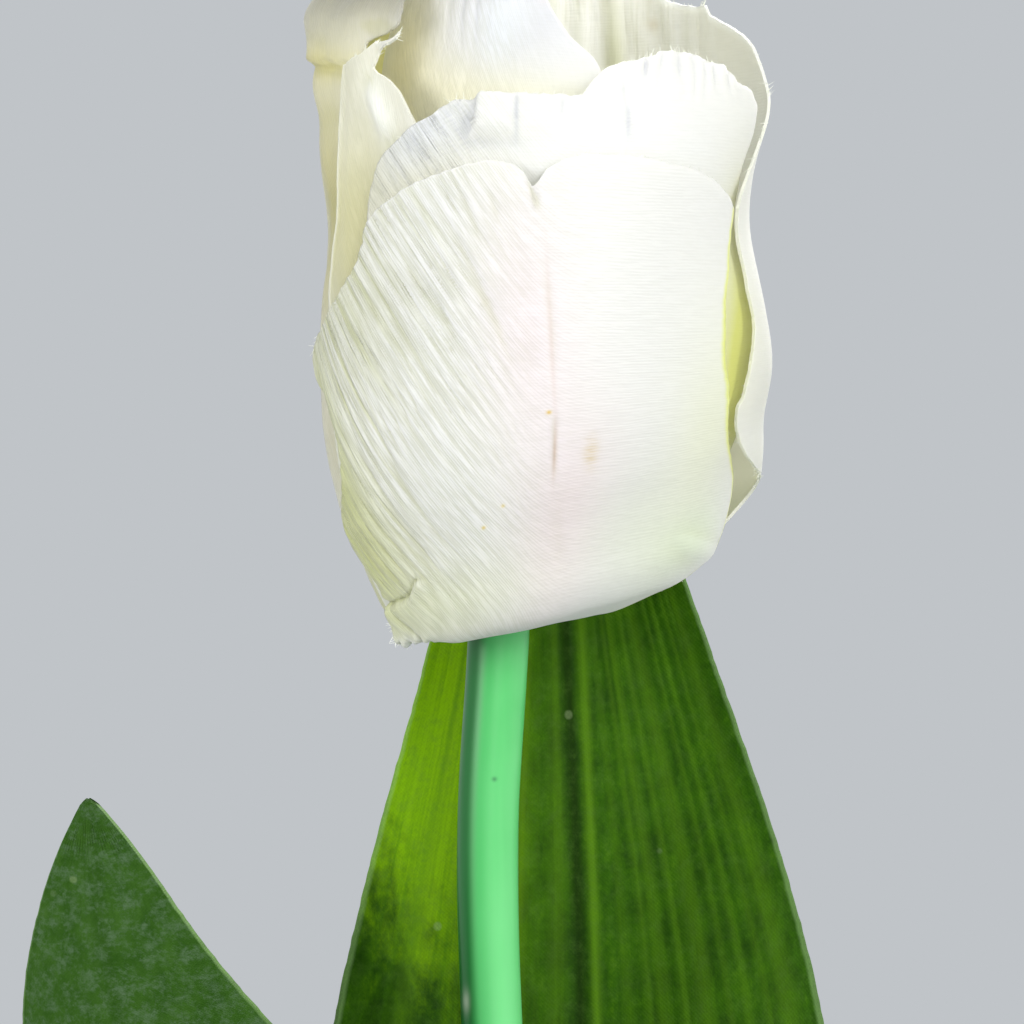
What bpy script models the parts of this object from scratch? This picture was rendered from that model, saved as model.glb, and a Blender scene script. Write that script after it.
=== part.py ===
"""An artificial white tulip with two leaves, standing in a plain ceramic vase.

The vase's foot is centred on the origin and the flower leans on the vase's neck.
Seen from the front (along +Y), +X is to the right. All the sizes below are in millimetres
and all the angles in degrees; MM turns a size into Blender's metres.
"""

import math

import bmesh
import bpy
import numpy as np
from mathutils import Vector

MM = 0.001
GAP = 0.3

# The vase: height, wall, the bore of its neck and the widths of its outside.
VASE_HEIGHT = 140.0
VASE_WALL = 3.6
VASE_FLOOR = 6.0
VASE_FOOT_RADIUS = 26.0
VASE_BELLY_RADIUS = 37.5
VASE_BELLY_HEIGHT = 52.0
VASE_NECK_RADIUS = 15.6
VASE_NECK_HEIGHT = 118.0
VASE_RIM_RADIUS = 19.0
VASE_SIDES = 40

# The stem: a plastic tube on a wire. Its foot and its rest against the neck lie on one line.
STEM_RADIUS = 3.1
STEM_BORE_RADIUS = 1.15
STEM_SIDES = 10
WIRE_RADIUS = 0.8
LEAN_ANGLE = 150.0
FOOT_REACH = 9.6
NECK_REACH = 8.6
NECK_REST_HEIGHT = 127.0

# The bloom: the middle of its cup, where the stem meets it, and how the bottom slants.
BLOOM_X = -11.8
BLOOM_Y = 10.5
BLOOM_HEIGHT = 280.0
STEM_OFFSET = -4.1
BASE_SLANT = 0.245
PETAL_THICKNESS = 0.7
LAYER = 1.2

# The plastic holder that the petals are threaded on, from the bloom's own height up.
HOLDER_RADIUS = 4.55
HOLDER_FLANGE_RADIUS = 5.6
HOLDER_BOTTOM = 2.2
HOLDER_FLANGE_TOP = 3.3
HOLDER_TOP = 11.0
SOCKET_DEPTH = 6.0
STEM_TOP = HOLDER_BOTTOM + SOCKET_DEPTH - GAP

LEAF_THICKNESS = 0.8

# How far the cup's wall stands from the bloom's middle, against height, from the holder up.
OUTER_PROFILE = [
    (4.95, 4.2), (8.0, 3.1), (11.5, 2.6), (14.3, 3.1), (16.3, 5.1), (17.7, 8.0), (19.1, 11.5),
    (20.7, 16.0), (21.9, 22.0), (22.4, 29.0), (22.4, 37.0), (22.1, 45.0), (21.7, 52.0),
    (21.3, 60.0), (20.5, 68.0), (19.3, 75.0),
]
CENTRE_PROFILE = [
    (4.95, 8.6), (8.0, 7.7), (11.0, 8.2), (13.2, 11.0), (14.6, 16.0), (15.4, 24.0),
    (15.6, 34.0), (15.3, 46.0), (14.8, 56.0), (13.6, 63.0), (10.6, 69.0), (7.0, 73.0),
]

CUP_LINE_STEPS = 120

# Bulges of the whole cup: how far out, at which angle and height, and how wide and tall.
CUP_BULGES = [
    (-1.6, 84, 32, 41.5, 6.5),
    (1.6, 92, 34, 53.5, 6),
    (2.0, -98, 38, 48, 14),
    (1.6, -98, 40, 70, 10),
]

# Each petal, from the outside in. Angles run from the front (0) to the right (+).
# left and right: the margins' angle against the reach along the petal from the holder.
# top: the height of the top edge against the share of the way from the left margin to the right.
# depth: how many layers it lies inside the cup's outside, against the angle.
PETALS = {
    "petal_outer_front": {
        "left": [
            (0, -60), (9, -84), (18, -93), (33, -94), (37, -87), (43.7, -61.5), (50.2, -49.5),
            (64, -38),
        ],
        "right": [
            (0, 52), (9, 64), (16, 69), (20.5, 69), (26, 62), (33, 55), (43, 53.5), (50, 58.5),
            (64, 61),
        ],
        "top": [
            (0, 41.8), (0.1, 45.2), (0.24, 47.7), (0.31, 48.2), (0.39, 47.4), (0.43, 45.8),
            (0.5, 47.9), (0.59, 49.0), (0.745, 48.3), (0.865, 47.2), (1, 44.4),
        ],
        "depth": [(-95, 0), (70, 0)],
        "bulges": [],
    },
    "petal_outer_right": {
        "left": [
            (0, 84), (12, 90), (17, 90), (21, 84), (25, 69), (29, 62), (33, 61.5), (38, 64),
            (48.7, 64), (53, 67.5), (57.4, 79), (62, 88), (66, 92),
        ],
        "right": [(0, 148), (12, 160), (28, 170), (60, 172), (84, 165)],
        "top": [
            (0, 54.0), (0.06, 56.8), (0.31, 60.4), (0.52, 63.5), (0.66, 64.3), (0.78, 66.6),
            (0.88, 67.2), (0.95, 65.5), (1, 61),
        ],
        "depth": [(60, 0), (175, 0)],
        "bulges": [(2.6, 84, 26, 11, 7), (1.0, 84, 26, 22, 8)],
    },
    "petal_outer_left": {
        "left": [(0, -196), (12, -200), (30, -202), (60, -202), (84, -192)],
        "right": [(0, -104), (12, -92), (24, -72), (40, -61), (60, -61), (84, -72)],
        "top": [(0, 58.5), (0.15, 65.5), (0.4, 69.5), (0.6, 70.0), (0.85, 67.5), (1, 62.0)],
        "depth": [
            (-204, 1.1), (-190, 1.1), (-180, 0.5), (-165, 0), (-120, 0), (-104, 0.5), (-97, 0.95),
            (-87, 1.0), (-79, 2.2), (-58, 2.5),
        ],
        "bulges": [],
    },
    "petal_inner_front": {
        "left": [(0, -36), (12, -46), (30, -53), (50, -54.5), (56, -50), (66, -40)],
        "right": [(0, 72), (12, 88), (26, 88), (45, 80), (52.5, 78), (58, 82), (66, 78)],
        "top": [
            (0, 44.5), (0.035, 47.6), (0.12, 51.0), (0.19, 53.2), (0.25, 53.9), (0.34, 54.9),
            (0.43, 54.2), (0.48, 54.2), (0.51, 55.9), (0.57, 57.6), (0.67, 58.3), (0.75, 58.3),
            (0.85, 57.0), (0.94, 54.9), (1, 51.5),
        ],
        "depth": [(-60, 1), (90, 1)],
        "bulges": [],
    },
    "petal_inner_left": {
        "left": [(0, -78), (12, -74), (30, -72), (44, -72), (52, -68), (62, -66), (72, -62)],
        "right": [(0, -4), (12, -4), (40, -8), (52, -26), (60.4, -37), (63.3, -42), (69, -45)],
        "top": [(0, 56.8), (0.3, 58.8), (0.6, 59.6), (0.85, 60.4), (1, 59.4)],
        "depth": [(-80, 1.15), (-63, 1.2), (-57, 1.9), (-50, 2.1), (5, 2.15)],
        "bulges": [],
    },
    "petal_inner_centre": {
        "left": [(0, -150), (20, -170), (50, -175), (66, -160), (75, -140)],
        "right": [(0, 30), (20, 50), (45, 40), (55.4, 23), (62.7, 3.5), (69, -18), (75, -35)],
        "top": [(0, 64), (0.25, 69.5), (0.5, 71.5), (0.75, 69.5), (1, 62)],
        "depth": [(-180, 0), (60, 0)],
        "bulges": [],
    },
}
PETAL_COLUMNS = 14
PETAL_ROWS = 20

# The rows in the cup's bowl lie at the same reach on every petal, so that the layers stay apart.
BOWL_REACH = 28.0
BOWL_SHARE = 0.45

# Each leaf's middle line, measured from the stem's middle at its foot: across, back and up.
# width: half its width, and roll: the radius it is rolled to, both against the share of its length.
# facing: the direction of its hollow side, as an angle like the petals', against the same share.
LEAVES = {
    "leaf_back": {
        "foot_height": 150.0,
        "sheath_angle": 165.0,
        "line": [
            (0, 0, 0), (0.4, 2.0, 14), (1.4, 6.0, 36), (1.9, 11.5, 66), (1.8, 15.6, 92),
            (0.9, 20.5, 116), (-0.3, 26.0, 140), (-1.3, 31.0, 158), (-2.0, 34.5, 171),
        ],
        "width": [
            (0, 3.9), (0.06, 5.0), (0.14, 12), (0.26, 22), (0.38, 28), (0.48, 27.6), (0.6, 22.4),
            (0.72, 15.8), (0.84, 9.4), (0.94, 4.2), (1, 0.7),
        ],
        "roll": [(0, 3.7), (0.08, 5.6), (0.18, 13), (0.32, 30), (0.6, 46), (1, 40)],
        "facing": [(0, -15), (0.2, -6), (1, 0)],
        "wave": 1.1,
        "waves": 2.4,
    },
    "leaf_left": {
        "foot_height": 144.0,
        "sheath_angle": -75.0,
        "line": [
            (0, 0, 0), (-1.4, -0.6, 13), (-8.0, -2.0, 30), (-18.0, -3.6, 50), (-27.0, -5.0, 68),
            (-34.8, -6.2, 85), (-40.0, -7.0, 102), (-42.9, -7.6, 121.4),
        ],
        "width": [
            (0, 3.3), (0.07, 4.4), (0.18, 9.4), (0.32, 16.5), (0.46, 21.4), (0.6, 22.2), (0.74, 18.2),
            (0.86, 12.0), (0.95, 5.2), (1, 0.7),
        ],
        "roll": [(0, 3.7), (0.1, 5.8), (0.22, 12), (0.4, 28), (1, 45)],
        "facing": [(0, 105), (0.15, 118), (0.4, 144), (1, 152)],
        "wave": 0.9,
        "waves": 2.0,
    },
}
LEAF_COLUMNS = 10
LEAF_ROWS = 24

# The moulded pistil with its ring of stamens.
PISTIL_HEIGHT = 22.0
PISTIL_RADIUS = 1.9
STAMEN_COUNT = 6
STAMEN_RING_RADIUS = 3.9
STAMEN_SPREAD = 14.0
STAMEN_LENGTH = 18.0
ANTHER_LENGTH = 9.0

COLOURS = {
    "petal": ((0.93, 0.93, 0.90), 0.62, 0.0),
    "leaf": ((0.055, 0.17, 0.02), 0.6, 0.0),
    "stem": ((0.10, 0.53, 0.13), 0.42, 0.0),
    "holder": ((0.42, 0.55, 0.20), 0.5, 0.0),
    "stamen": ((0.60, 0.48, 0.06), 0.55, 0.0),
    "wire": ((0.55, 0.56, 0.57), 0.35, 1.0),
    "glaze": ((0.80, 0.79, 0.75), 0.28, 0.0),
}


def clear_scene():
    for obj in list(bpy.data.objects):
        bpy.data.objects.remove(obj)


def new_collection(name):
    collection = bpy.data.collections.new(name)
    bpy.context.scene.collection.children.link(collection)
    return collection


def plain_material(name):
    """A Principled material of one colour, roughness and metallic value."""
    colour, roughness, metallic = COLOURS[name]
    material = bpy.data.materials.new(name)
    material.use_nodes = True
    shader = material.node_tree.nodes["Principled BSDF"]
    shader.inputs["Base Color"].default_value = (*colour, 1)
    shader.inputs["Roughness"].default_value = roughness
    shader.inputs["Metallic"].default_value = metallic
    return material


def along(points, place):
    """The value at a place on a smooth line through (place, value) points; values may be tuples."""
    places = [point[0] for point in points]
    values = [np.array(point[1:], float) for point in points]
    if place <= places[0]:
        return values[0]
    if place >= places[-1]:
        return values[-1]
    index = max(i for i in range(len(places) - 1) if places[i] <= place)
    span = places[index + 1] - places[index]
    share = (place - places[index]) / span

    def slope(i):
        before, after = max(i - 1, 0), min(i + 1, len(places) - 1)
        return (values[after] - values[before]) / (places[after] - places[before])

    square, cube = share**2, share**3
    return (
        (2 * cube - 3 * square + 1) * values[index]
        + (cube - 2 * square + share) * span * slope(index)
        + (3 * square - 2 * cube) * values[index + 1]
        + (cube - square) * span * slope(index + 1)
    )


def value_along(points, place):
    return float(along(points, place)[0])


def ease(start, end, value):
    """0 before start, 1 after end, and a smooth rise between."""
    share = min(max((value - start) / (end - start), 0), 1)
    return share * share * (3 - 2 * share)


def measured_line(points):
    """The same points, each led by its distance along the line."""
    line = []
    reach = 0.0
    for index, point in enumerate(points):
        if index:
            reach += math.dist(point, points[index - 1])
        line.append((reach, *point))
    return line


def link(obj, collection, material):
    collection.objects.link(obj)
    obj.data.materials.append(material)
    return obj


def mesh_object(name, mesh, collection, material):
    for polygon in mesh.polygons:
        polygon.use_smooth = True
    return link(bpy.data.objects.new(name, mesh), collection, material)


def apply_modifiers(obj):
    """Replaces an object's mesh by its evaluated one."""
    graph = bpy.context.evaluated_depsgraph_get()
    mesh = bpy.data.meshes.new_from_object(obj.evaluated_get(graph))
    obj.modifiers.clear()
    obj.data = mesh


def blade(name, columns, rows, place, thickness, collection, material):
    """A thin sheet: place(u, v) gives each point of a grid, which is then given its thickness."""
    form = bmesh.new()
    bmesh.ops.create_grid(form, x_segments=columns, y_segments=rows, size=1)
    for vertex in form.verts:
        vertex.co = Vector(place((vertex.co.x + 1) / 2, (vertex.co.y + 1) / 2)) * MM
    bmesh.ops.triangulate(form, faces=form.faces, quad_method="FIXED")
    mesh = bpy.data.meshes.new(name)
    form.to_mesh(mesh)
    form.free()
    obj = mesh_object(name, mesh, collection, material)
    solidify = obj.modifiers.new("thickness", "SOLIDIFY")
    solidify.thickness = thickness * MM
    solidify.offset = 0
    return obj


def turned(name, profile, sides, collection, material):
    """A profile of (radius, height) points, closed on itself or on the axis, turned round +Z."""
    mesh = bpy.data.meshes.new(name)
    points = [(radius * MM, 0, height * MM) for radius, height in profile]
    edges = [(index, index + 1) for index in range(len(points) - 1)]
    mesh.from_pydata(points, edges, [])
    obj = link(bpy.data.objects.new(name, mesh), collection, material)
    screw = obj.modifiers.new("turn", "SCREW")
    screw.steps = sides
    screw.render_steps = sides
    screw.use_merge_vertices = True
    screw.merge_threshold = 0.00001
    screw.use_smooth_shade = True
    return obj


def tube(name, points, radius, sides, collection, material):
    """A round tube or rod along points in millimetres."""
    curve = bpy.data.curves.new(name, "CURVE")
    curve.dimensions = "3D"
    curve.bevel_depth = radius * MM
    curve.bevel_resolution = sides // 2 - 2
    curve.use_fill_caps = True
    spline = curve.splines.new("POLY")
    spline.points.add(len(points) - 1)
    for control, point in zip(spline.points, points):
        control.co = (*(Vector(point) * MM), 1)
    return link(bpy.data.objects.new(name, curve), collection, material)


def compass(angle):
    """The level direction at an angle from the front, as (x, y)."""
    return math.sin(math.radians(angle)), -math.cos(math.radians(angle))


def stem_route():
    """The stem's middle line as (height, x, y): straight from its foot to its rest in the neck,
    then curving up to the bloom."""
    lean = math.radians(LEAN_ANGLE)
    direction = np.array((math.cos(lean), math.sin(lean)))
    tilt = (FOOT_REACH + NECK_REACH) / NECK_REST_HEIGHT
    foot = (VASE_FLOOR + GAP + STEM_RADIUS * tilt, *(-FOOT_REACH * direction))
    neck = (NECK_REST_HEIGHT, *(NECK_REACH * direction))
    middle = tuple((np.array(foot) + np.array(neck)) / 2)
    top_x = BLOOM_X + STEM_OFFSET
    return [
        foot,
        middle,
        neck,
        (160.0, -11.4, 6.8),
        (200.0, -14.6, 8.8),
        (240.0, BLOOM_X - 4.8, 9.9),
        (262.0, BLOOM_X - 5.2, 10.3),
        (BLOOM_HEIGHT + 1.0, top_x, BLOOM_Y),
        (BLOOM_HEIGHT + STEM_TOP, top_x, BLOOM_Y),
    ]


def stem_middle(height):
    """The stem's middle at a height, as (x, y, height)."""
    x, y = along(stem_route(), height)
    return float(x), float(y), height


def stem_points(start, end, spacing):
    count = math.ceil((end - start) / spacing)
    return [stem_middle(start + (end - start) * index / count) for index in range(count + 1)]


def make_stem(parts, materials):
    foot = stem_route()[0][0]
    top = BLOOM_HEIGHT + STEM_TOP
    points = stem_points(foot, top, 8.0)
    outside = tube("stem", points, STEM_RADIUS, STEM_SIDES, parts, materials["stem"])
    outside.data.use_fill_caps = False
    wall = outside.modifiers.new("bore", "SOLIDIFY")
    wall.thickness = (STEM_RADIUS - STEM_BORE_RADIUS) * MM
    wall.offset = -1
    wire_points = stem_points(foot + 1.0, top - 1.5, 8.0)
    tube("stem_wire", wire_points, WIRE_RADIUS, 6, parts, materials["wire"])


def vase_profile():
    """The vase's section, down the outside from the rim, under the foot and back up the inside."""
    shape = [
        (0, VASE_FOOT_RADIUS), (4, VASE_FOOT_RADIUS + 1.7), (26, 34.2),
        (VASE_BELLY_HEIGHT, VASE_BELLY_RADIUS), (78, 33.0), (98, 22.4), (108, 17.8),
        (VASE_NECK_HEIGHT, VASE_NECK_RADIUS), (130, 16.4), (VASE_HEIGHT, VASE_RIM_RADIUS),
    ]
    lip = 1.2
    outside_heights = [137, 133, 128, 123, 118, 113, 108, 103, 97, 90, 82, 73, 63, 52, 41, 30, 20, 11, 4]
    inside_heights = [7.5, 11, 20, 30, 41, 52, 63, 73, 82, 90, 97, 103, 108, 113, 118, 123, 128, 133, 137]
    outside = [(value_along(shape, height), height) for height in outside_heights]
    inside = [(value_along(shape, height) - VASE_WALL, height) for height in inside_heights]
    inside[0] = (inside[0][0] - 2.0, inside[0][1])
    rim = VASE_RIM_RADIUS
    top = [
        (rim - VASE_WALL / 2 - 0.7, VASE_HEIGHT),
        (rim - VASE_WALL / 2 + 0.7, VASE_HEIGHT),
        (rim - 0.3, VASE_HEIGHT - lip),
    ]
    foot = [(VASE_FOOT_RADIUS + 0.6, 1.2), (VASE_FOOT_RADIUS - 0.8, 0), (0, 0)]
    floor = [(0, VASE_FLOOR), (inside[0][0] - 3.5, VASE_FLOOR)]
    inner_lip = [(rim - VASE_WALL + 0.3, VASE_HEIGHT - lip)]
    return top + outside + foot, floor + inside + inner_lip + top[:1]


def make_vase(parts, materials):
    outside, inside = vase_profile()
    vase = turned("vase", outside, VASE_SIDES, parts, materials["glaze"])
    lining = turned("lining", inside, VASE_SIDES, parts, materials["glaze"])
    apply_modifiers(vase)
    apply_modifiers(lining)
    form = bmesh.new()
    form.from_mesh(vase.data)
    form.from_mesh(lining.data)
    bmesh.ops.remove_doubles(form, verts=form.verts, dist=0.00001)
    form.to_mesh(vase.data)
    form.free()
    bpy.data.objects.remove(lining)


def cup_line(profile):
    """The cup's wall as (reach, radius, height) points, close together along its curve."""
    rough = measured_line(profile)
    length = rough[-1][0]
    steps = CUP_LINE_STEPS
    return measured_line([tuple(along(rough, length * index / steps)) for index in range(steps + 1)])


def bulge_at(bulges, angle, height):
    total = 0.0
    for out, centre, width, middle, tall in bulges:
        sideways = (angle - centre) / width
        upward = (height - middle) / tall
        total += out * math.exp(-sideways * sideways - upward * upward)
    return total


def cup_point(line, reach, angle, inward, bulges):
    """A point of the bloom at a reach along the petal and an angle, so far inside the cup."""
    radius, height = along(line, reach)
    ahead = along(line, reach + 0.5)
    behind = along(line, reach - 0.5)
    run = ahead - behind
    run /= np.linalg.norm(run)
    radius += -run[1] * inward
    height += run[0] * inward
    radius += bulge_at(bulges, angle, height)
    centre = STEM_OFFSET * (1 - ease(1, 13, reach))
    across, back = compass(angle)
    x = centre + radius * across
    slant = BASE_SLANT * ease(2, 9, reach) * (1 - ease(14, 46, reach))
    height += slant * (x - STEM_OFFSET)
    return BLOOM_X + x, BLOOM_Y + radius * back, BLOOM_HEIGHT + height


def make_petal(name, petal, line, cup_bulges, parts, materials):
    lowest = min(range(len(line)), key=lambda index: line[index][2])
    reach_at_height = [(height, reach) for reach, radius, height in line[lowest:]]
    bulges = cup_bulges + petal["bulges"]

    def place(u, v):
        full = value_along(reach_at_height, value_along(petal["top"], u))
        if v <= BOWL_SHARE:
            reach = BOWL_REACH * v / BOWL_SHARE
        else:
            reach = BOWL_REACH + (full - BOWL_REACH) * (v - BOWL_SHARE) / (1 - BOWL_SHARE)
        left = value_along(petal["left"], reach)
        right = value_along(petal["right"], reach)
        angle = left + (right - left) * u
        inward = LAYER * value_along(petal["depth"], angle)
        return cup_point(line, reach, angle, inward, bulges)

    blade(name, PETAL_COLUMNS, PETAL_ROWS, place, PETAL_THICKNESS, parts, materials["petal"])


def make_petals(parts, materials):
    outer = cup_line(OUTER_PROFILE)
    centre = cup_line(CENTRE_PROFILE)
    for name, petal in PETALS.items():
        inside = name == "petal_inner_centre"
        line = centre if inside else outer
        make_petal(name, petal, line, [] if inside else CUP_BULGES, parts, materials)


def make_holder(parts, materials):
    """The plastic cup on the stem's end, with a flange below the petals and a peg through them."""
    socket = STEM_RADIUS + GAP
    profile = [
        (0, HOLDER_TOP), (HOLDER_RADIUS - 0.6, HOLDER_TOP), (HOLDER_RADIUS, HOLDER_TOP - 0.6),
        (HOLDER_RADIUS, HOLDER_FLANGE_TOP), (HOLDER_FLANGE_RADIUS, HOLDER_FLANGE_TOP - 0.5),
        (HOLDER_FLANGE_RADIUS - 0.4, HOLDER_BOTTOM), (socket, HOLDER_BOTTOM),
        (socket, HOLDER_BOTTOM + SOCKET_DEPTH), (0, HOLDER_BOTTOM + SOCKET_DEPTH),
    ]
    holder = turned("petal_holder", profile, 20, parts, materials["holder"])
    holder.location = Vector((BLOOM_X + STEM_OFFSET, BLOOM_Y, BLOOM_HEIGHT)) * MM


def stamen(index, helpers, material):
    """One filament with its anther, leaning out from the ring."""
    tip = STAMEN_LENGTH + ANTHER_LENGTH
    profile = [
        (0, tip), (0.5, tip - 0.3), (1.15, tip - 2.4), (1.25, STAMEN_LENGTH + 2.6),
        (0.6, STAMEN_LENGTH + 0.4), (0.55, STAMEN_LENGTH), (0.8, 0), (0, 0),
    ]
    obj = turned(f"stamen_{index}", profile, 6, helpers, material)
    apply_modifiers(obj)
    across, back = compass(360 * index / STAMEN_COUNT + 20)
    obj.location = Vector((across * STAMEN_RING_RADIUS, back * STAMEN_RING_RADIUS, 1.0)) * MM
    obj.rotation_mode = "AXIS_ANGLE"
    obj.rotation_axis_angle = (math.radians(STAMEN_SPREAD), -back, across, 0)


def make_stamens(parts, materials):
    """The cap that locks the petals on the peg, with the pistil and the stamens moulded on it."""
    helpers = new_collection("stamen pieces")
    profile = [
        (0, PISTIL_HEIGHT), (1.5, PISTIL_HEIGHT - 0.3), (2.7, PISTIL_HEIGHT - 1.5), (2.3, PISTIL_HEIGHT - 3),
        (PISTIL_RADIUS, PISTIL_HEIGHT - 4.5), (PISTIL_RADIUS + 0.3, 9), (PISTIL_RADIUS + 0.6, 4),
        (3.0, 2.6), (5.6, 2.2), (5.9, 1.4), (5.6, 0), (0, 0),
    ]
    cap = turned("stamens", profile, 18, parts, materials["stamen"])
    apply_modifiers(cap)
    for index in range(STAMEN_COUNT):
        stamen(index, helpers, materials["stamen"])
    union = cap.modifiers.new("join", "BOOLEAN")
    union.operation = "UNION"
    union.operand_type = "COLLECTION"
    union.collection = helpers
    bpy.context.view_layer.update()
    apply_modifiers(cap)
    for obj in list(helpers.objects):
        bpy.data.objects.remove(obj)
    bpy.data.collections.remove(helpers)
    place = (BLOOM_X + STEM_OFFSET, BLOOM_Y, BLOOM_HEIGHT + HOLDER_TOP + GAP)
    cap.location = Vector(place) * MM


def leaf_line(leaf):
    """The leaf's middle line, led by the share of its length, starting at the stem's skin."""
    across, back = compass(leaf["sheath_angle"])
    foot = np.array(stem_middle(leaf["foot_height"]))
    skin = (STEM_RADIUS + GAP + LEAF_THICKNESS / 2) * np.array((across, back, 0))
    points = [tuple(foot + skin + np.array(point)) for point in leaf["line"]]
    line = measured_line(points)
    length = line[-1][0]
    return [(reach / length, x, y, z) for reach, x, y, z in line]


def leaf_point(leaf, line, u, v):
    """A point of the leaf: u across it and v along it, both from 0 to 1."""
    middle = Vector(along(line, v))
    step = 0.01
    ahead = Vector(along(line, min(v + step, 1))) - Vector(along(line, max(v - step, 0)))
    tangent = ahead.normalized()
    across, back = compass(value_along(leaf["facing"], v))
    facing = Vector((across, back, 0))
    facing = (facing - tangent * facing.dot(tangent)).normalized()
    side = tangent.cross(facing)
    roll = value_along(leaf["roll"], v)
    half = value_along(leaf["width"], v)
    turn = (2 * u - 1) * half / roll
    wave = leaf["wave"] * math.sin(2 * math.pi * leaf["waves"] * v + 2 * u)
    wave *= (2 * u - 1) ** 2 * ease(0.12, 0.4, v) * (1 - ease(0.85, 1, v))
    return middle + side * (roll * math.sin(turn)) + facing * (roll * (1 - math.cos(turn)) + wave)


def make_leaves(parts, materials):
    for name, leaf in LEAVES.items():
        line = leaf_line(leaf)

        def place(u, v):
            return leaf_point(leaf, line, u, v)

        blade(name, LEAF_COLUMNS, LEAF_ROWS, place, LEAF_THICKNESS, parts, materials["leaf"])


def main():
    clear_scene()
    parts = new_collection("tulip in vase")
    materials = {name: plain_material(name) for name in COLOURS}
    make_vase(parts, materials)
    make_stem(parts, materials)
    make_holder(parts, materials)
    make_petals(parts, materials)
    make_stamens(parts, materials)
    make_leaves(parts, materials)


main()
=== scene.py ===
import math

import bmesh
import bpy
import numpy as np
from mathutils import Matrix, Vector


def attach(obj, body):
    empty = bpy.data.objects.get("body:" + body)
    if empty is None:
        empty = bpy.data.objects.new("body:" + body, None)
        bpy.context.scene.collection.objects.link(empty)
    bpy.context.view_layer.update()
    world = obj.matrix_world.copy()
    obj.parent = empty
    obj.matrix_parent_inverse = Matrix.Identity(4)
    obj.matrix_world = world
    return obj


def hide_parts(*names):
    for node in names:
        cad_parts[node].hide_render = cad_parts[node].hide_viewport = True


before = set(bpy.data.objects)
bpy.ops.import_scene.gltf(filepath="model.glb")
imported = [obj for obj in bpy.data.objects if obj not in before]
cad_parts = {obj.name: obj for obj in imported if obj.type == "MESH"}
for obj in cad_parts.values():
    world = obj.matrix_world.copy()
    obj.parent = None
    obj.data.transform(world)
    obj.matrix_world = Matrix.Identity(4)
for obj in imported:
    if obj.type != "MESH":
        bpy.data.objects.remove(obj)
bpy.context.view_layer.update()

# An artificial white tulip in a plain vase. Sizes are in millimetres and angles in degrees;
# the front is -Y, and an angle runs from the front (0) to the right (+).
mm = 0.001
print("frame loaded:", len(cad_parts), "nodes")


# numbers and lines

def along(points, place):
    # the values at each place on a smooth line through (place, value, ...) points
    rows = np.array(points, float)
    places, values = rows[:, 0], rows[:, 1:]
    last = len(places) - 1
    spot = np.clip(np.asarray(place, float), places[0], places[-1])
    index = np.clip(np.searchsorted(places, spot, side="right") - 1, 0, last - 1)
    order = np.arange(last + 1)
    before, after = np.clip(order - 1, 0, last), np.clip(order + 1, 0, last)
    slopes = (values[after] - values[before]) / (places[after] - places[before])[:, None]
    span = (places[index + 1] - places[index])[..., None]
    share = (spot - places[index])[..., None] / span
    square, cube = share**2, share**3
    found = (
        (2 * cube - 3 * square + 1) * values[index]
        + (cube - 2 * square + share) * span * slopes[index]
        + (3 * square - 2 * cube) * values[index + 1]
        + (cube - square) * span * slopes[index + 1]
    )
    return found[..., 0] if found.shape[-1] == 1 else found


def ease(start, end, value):
    share = np.clip((np.asarray(value, float) - start) / (end - start), 0, 1)
    return share * share * (3 - 2 * share)


def hill(value, middle, width):
    return np.exp(-(((value - middle) / width) ** 2))


def compass(angle):
    way = np.radians(angle)
    return np.sin(way), -np.cos(way)


def measured(points):
    # the same points, each led by its distance along their line
    rows = np.array(points, float)
    steps = np.linalg.norm(np.diff(rows, axis=0), axis=1)
    return np.column_stack([np.concatenate([[0], np.cumsum(steps)]), rows])


def unit(vectors):
    return vectors / np.maximum(np.linalg.norm(vectors, axis=-1, keepdims=True), 1e-9)


def unevenness(across, up, size, seed, count=7):
    # smooth random hills and hollows about size apart, from -1 to 1
    rng = np.random.default_rng(seed)
    total = 0
    for _ in range(count):
        way, stretch, start = rng.uniform(0, 2 * math.pi), rng.uniform(0.7, 1.5), rng.uniform(0, 6.3)
        pace = 2 * math.pi / (size * stretch)
        total = total + np.sin(pace * (across * math.cos(way) + up * math.sin(way)) + start)
    return total / math.sqrt(count * 2)


def groove(across, up, line, width, tapered=True):
    # 1 on a line of (across, up) points, falling to 0 a width away from it and, when tapered, at its ends
    lengths = [math.dist(start, end) for start, end in zip(line, line[1:])]
    nearest = np.full(np.broadcast(across, up).shape, 1e9)
    place, done = 0.0 * nearest, 0.0
    for (x0, y0), (x1, y1), length in zip(line, line[1:], lengths):
        dx, dy = x1 - x0, y1 - y0
        share = np.clip(((across - x0) * dx + (up - y0) * dy) / (dx * dx + dy * dy), 0, 1)
        far = np.hypot(across - x0 - share * dx, up - y0 - share * dy)
        place = np.where(far < nearest, (done + share * length) / sum(lengths), place)
        nearest = np.minimum(nearest, far)
        done += length
    fading = ease(0, 0.35, place) * ease(1, 0.6, place) if tapered else 1.0
    return np.exp(-((nearest / width) ** 2)) * fading


# meshes

def placed(name, mesh, smooth=True):
    mesh.polygons.foreach_set("use_smooth", [smooth] * len(mesh.polygons))
    obj = bpy.data.objects.new(name, mesh)
    bpy.context.scene.collection.objects.link(obj)
    return obj


def formed(name, form):
    mesh = bpy.data.meshes.new(name)
    form.to_mesh(mesh)
    form.free()
    return mesh


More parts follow.
